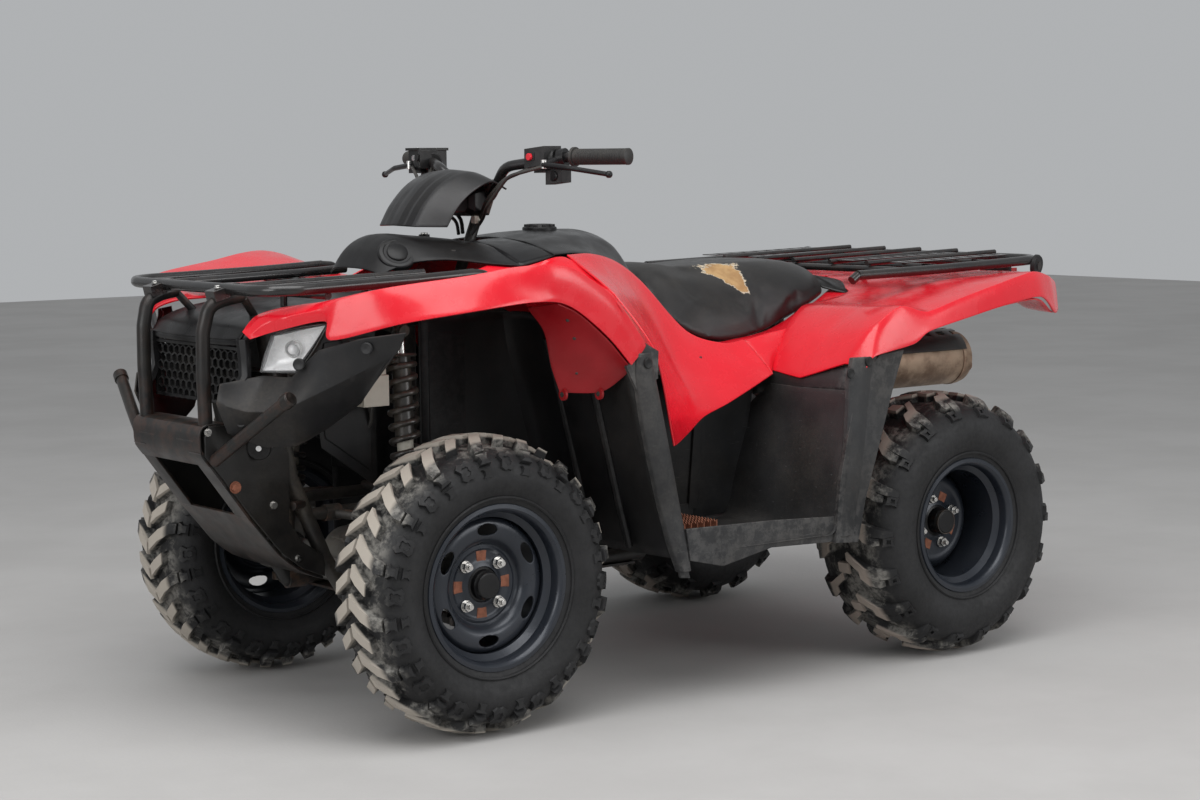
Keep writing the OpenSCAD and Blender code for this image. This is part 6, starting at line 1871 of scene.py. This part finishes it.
def make_footwells(looks):
    rust, black, faded = looks["rust"], looks["black"], looks["faded"]
    shape = Shape()
    for k in range(6):
        serrated(shape, 217, 393, -643 + k * 18, 327, 3, 30)
    for y in (225, 380):
        shape.prism([at(-645, y, 324.5), at(-548, y, 324.5), at(-548, y + 4, 324.5),
                     at(-645, y + 4, 324.5)],
                    (0, 0, 0.012))
    shape.mirror().piece("serrated_footpegs", [rust], ["footpegs"], sharp=25, edge=0.0003)

    # Inner engine side panel with its raised border, under each red side cover.
    shape = Shape()
    net = [[(-398, 182, 560), (-404, 186, 470), (-414, 190, 328)],
           [(-470, 226, 606), (-474, 214, 490), (-480, 196, 328)],
           [(-600, 244, 660), (-600, 224, 520), (-600, 198, 328)],
           [(-720, 246, 690), (-722, 232, 520), (-724, 206, 330)],
           [(-800, 248, 700), (-806, 236, 540), (-822, 212, 334)],
           [(-872, 262, 690), (-866, 246, 560), (-842, 214, 350)]]
    panel(net, 6, 8, 0.3, shape)
    shape.mirror().piece("engine_side_panels", [faded], thick=0.003, edge=0.0010)
    shape = Shape()
    for a, b in (((-440, 232, 574), (-716, 262, 684)), ((-716, 262, 684), (-724, 216, 352)),
                 ((-724, 216, 352), (-455, 206, 352)), ((-455, 206, 352), (-440, 232, 574))):
        p, q = at(*a), at(*b)
        way = (q - p).normalized()
        side = way.cross(Vector((0, 1, 0))).normalized() * 0.013
        out = Vector((0, 0.004, 0))
        shape.prism([p - side - out, q - side - out, q + side - out, p + side - out], out * 1.6)
    shape.mirror().piece("engine_panel_borders", [faded], edge=0.0012)
    # Anti-slip ribs across each footboard.
    shape = Shape()
    for k in range(16):
        x = -790 + k * 13
        shape.block(at(x, 470, 325.4), (0.0045, 0.150, 0.003))
    for k in range(8):
        shape.block(at(-440 + k * 4.5, 470, 326), (0.0022, 0.150, 0.003))
    shape.mirror().piece("footboard_ribs", [faded], edge=0.0006)
    # Black side flares that sweep from the fenders to the footboard, thick and rounded.
    shape = Shape()
    front = [(-312, 742, 20), (-318, 700, 27), (-337, 610, 30), (-358, 520, 30), (-380, 430, 28),
             (-402, 350, 25), (-420, 290, 18)]
    rear = [(-918, 700, 38), (-905, 650, 38), (-900, 600, 34), (-893, 520, 32), (-880, 440, 32),
            (-868, 370, 32), (-858, 318, 28)]
    for line, y in ((front, 552), (rear, 564)):
        rings = []
        for x, z, w in line:
            rings.append([at(x - w, y - 14, z), at(x - w + 3, y - 2, z), at(x - w * 0.4, y + 4, z),
                          at(x + w * 0.4, y + 4, z), at(x + w - 3, y - 2, z), at(x + w, y - 14, z),
                          at(x, y - 8, z)])
        shape.loft(rings)
    shape.mirror().piece("footwell_flares", [faded], edge=0.002)
    # Push plugs over the plastics.
    shape = Shape()
    for x, y, z in ((-318, 557, 722), (-921, 569, 690), (-866, 569, 668)):
        for s in (1, -1):
            shape.lathe([(0.0, 0.0), (0.011, 0.0), (0.011, 0.0015), (0.009, 0.003), (0.0, 0.002)],
                        at(x, s * y, z), (0, s, 0), 28)
    shape.piece("flare_plugs", [black], sharp=35)
    # Arch liners: one black wall from beside the frame out to the footwell, behind each front wheel.
    shape = Shape()
    rows = []
    for z, back in ((812, -252), (738, -264), (650, -286), (520, -322), (400, -356), (316, -388)):
        rows.append([(-34, 174, z), (-140, 176, z), (back + 24, 190, z), (back, 250, z), (back - 6, 400, z),
                     (back - 18, 543, z)])
    rows[0] = [(x, y, z if y < 300 else 770) for x, y, z in rows[0]]
    panel(rows, 4, 5, 0.5, shape)
    for y in (300, 420):
        shape.tube(spread([(-262, y, 760), (-300, y, 620), (-352, y, 420), (-378, y, 330)]), 0.008, 0.1, 8)
    shape.mirror().piece("arch_back_liners", [black], thick=0.003)


def make_red_trims(looks):
    # Inner lip of each front fender, then its tabs and plugs; lip and tabs take the darker red with painted
    # shade.
    shape = Shape()
    lip = [[(-104, 546, 850), (-105, 520, 848), (-107, 480, 843), (-110, 440, 837)],
           [(-154, 547, 828), (-153, 520, 817), (-152, 480, 802), (-150, 440, 788)],
           [(-224, 547, 775), (-214, 520, 761), (-190, 480, 740), (-166, 440, 718)],
           [(-280, 546, 720), (-290, 520, 699), (-258, 482, 664), (-186, 440, 664)]]
    panel(lip, 6, 6, 0.3, shape)
    shape.mirror().piece("fender_inner_lips", [looks["shade_painted_red"]], thick=0.003, edge=0.0010)
    shape = Shape()
    for s in (1, -1):
        for x, y, z in ((-193, 446, 660), (-256, 482, 660)):
            shape.rod(at(x, s * y, z), at(x + 5, s * y, z), 0.012, 24, 0)
            shape.rod(at(x + 5, s * y, z), at(x + 7, s * y, z), 0.005, 16, 1)
        for x, y, z in ((-150, 515, 814), (-178, 500, 776), (-232, 515, 742), (-206, 470, 704)):
            shape.ball(at(x, s * y, z), 0.004, 1)
    shape.piece("fender_tabs", [looks["shade_painted_red"], looks["rubber"]], sharp=40)
    # Plugs on the side guards.
    shape = Shape()
    for x, y, z in ((262, 432, 776), (330, 300, 742), (396, 192, 628)):
        for s in (1, -1):
            out = Vector((0.78, s * 0.60, 0.05)).normalized()
            shape.lathe([(0.0, -0.004), (0.012, -0.004), (0.012, 0.001), (0.0095, 0.0025), (0.0, 0.0015)],
                        at(x, s * y, z), out, 28)
    shape.piece("side_guard_plugs", [looks["black"]], sharp=35)


# ---------------------------------------------------------------- nodes shown as they are, lights, camera
KEPT = {
    "frame": "steel", "skid_plate": "guard", "front_differential": "alloy", "front_arms": "steel",
    "rear_swingarm": "steel", "steering_column": "steel", "tie_rod_left": "steel",
    "tie_rod_right": "steel", "knuckle_left": "alloy", "knuckle_right": "alloy", "rear_axle": "steel"}


def dress_kept(looks):
    for name, look in KEPT.items():
        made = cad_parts[name]
        for place in made.material_slots:
            place.material = looks[look]


def area_light(name, place, target, size, power):
    lamp = bpy.data.lights.new(name, "AREA")
    lamp.shape = "RECTANGLE"
    lamp.size, lamp.size_y = size
    lamp.energy = power
    made = bpy.data.objects.new(name, lamp)
    made.location = place
    made.rotation_mode = "QUATERNION"
    made.rotation_quaternion = (Vector(target) - Vector(place)).to_track_quat("-Z", "Y")
    bpy.context.scene.collection.objects.link(made)


def make_stage():
    made, tree, face = shader("pale_floor")
    colour = placed(tree, "patchy_colour", first=rgb(0.44, 0.43, 0.42), second=rgb(0.48, 0.47, 0.46),
                    scale=1.4)
    tree.links.new(colour, face.inputs["Base Color"])
    face.inputs["Roughness"].default_value = 0.85
    roughened(tree, face, placed(tree, "moulded_grain", scale=120.0, depth=1.0), 0.12, 0.002)
    floor_z = min(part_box("rear_tyres")[0].z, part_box("front_left_tyre")[0].z)
    half = 14.0
    corners = [(-half, -half, floor_z), (half, -half, floor_z), (half, half, floor_z),
               (-half, half, floor_z)]
    mesh = bpy.data.meshes.new("studio_floor")
    mesh.from_pydata(corners, [], [[0, 1, 2, 3]])
    mesh.materials.append(made)
    floor = bpy.data.objects.new("studio_floor", mesh)
    bpy.context.scene.collection.objects.link(floor)

    world = bpy.data.worlds.new("soft_studio")
    world.use_nodes = True
    sky = world.node_tree.nodes["Background"].inputs
    sky["Color"].default_value = rgb(0.80, 0.82, 0.84)
    sky["Strength"].default_value = 0.54
    bpy.context.scene.world = world
    area_light("big_soft_top", (1.4, 1.6, 4.2), (0.0, 0.0, 0.5), (4.6, 3.4), 165)
    area_light("front_fill", (4.6, 1.2, 1.8), (0.3, 0.1, 0.5), (2.6, 2.0), 55)
    area_light("side_fill", (-2.2, 4.6, 1.9), (-0.2, 0.1, 0.5), (2.8, 2.0), 60)


VIEW_FROM = (3.266, 4.168, 1.126)
VIEW_TURN, VIEW_DIP, VIEW_ROLL = math.radians(38.3), math.radians(5.82), math.radians(-0.46)
FOCAL_LENGTH = 70.9


def make_camera():
    lens = bpy.data.cameras.new("viewer")
    lens.lens = FOCAL_LENGTH
    lens.sensor_width = 36.0
    lens.clip_end = 100.0
    made = bpy.data.objects.new("viewer", lens)
    ahead = Vector((-math.sin(VIEW_TURN) * math.cos(VIEW_DIP), -math.cos(VIEW_TURN) * math.cos(VIEW_DIP),
                    -math.sin(VIEW_DIP)))
    right = ahead.cross(Vector((0, 0, 1))).normalized()
    up = right.cross(ahead)
    turned_right = right * math.cos(VIEW_ROLL) + up * math.sin(VIEW_ROLL)
    turned_up = up * math.cos(VIEW_ROLL) - right * math.sin(VIEW_ROLL)
    made.matrix_world = Matrix.Translation(VIEW_FROM) @ Matrix(
        (turned_right, turned_up, -ahead)).transposed().to_4x4()
    bpy.context.scene.collection.objects.link(made)
    bpy.context.scene.camera = made


def main():
    make_groups()
    looks = make_finishes()
    for make in (make_panels, make_tyres, make_rims, make_nose, make_lamps, make_guard, make_inner_guards,
                 make_racks, make_tail, make_seat, make_cockpit, make_suspension, make_drive,
                 make_footwells, make_red_trims, dress_kept):
        make(looks)
    make_stage()
    make_camera()


main()
bpy.context.scene.view_settings.view_transform = "Standard"
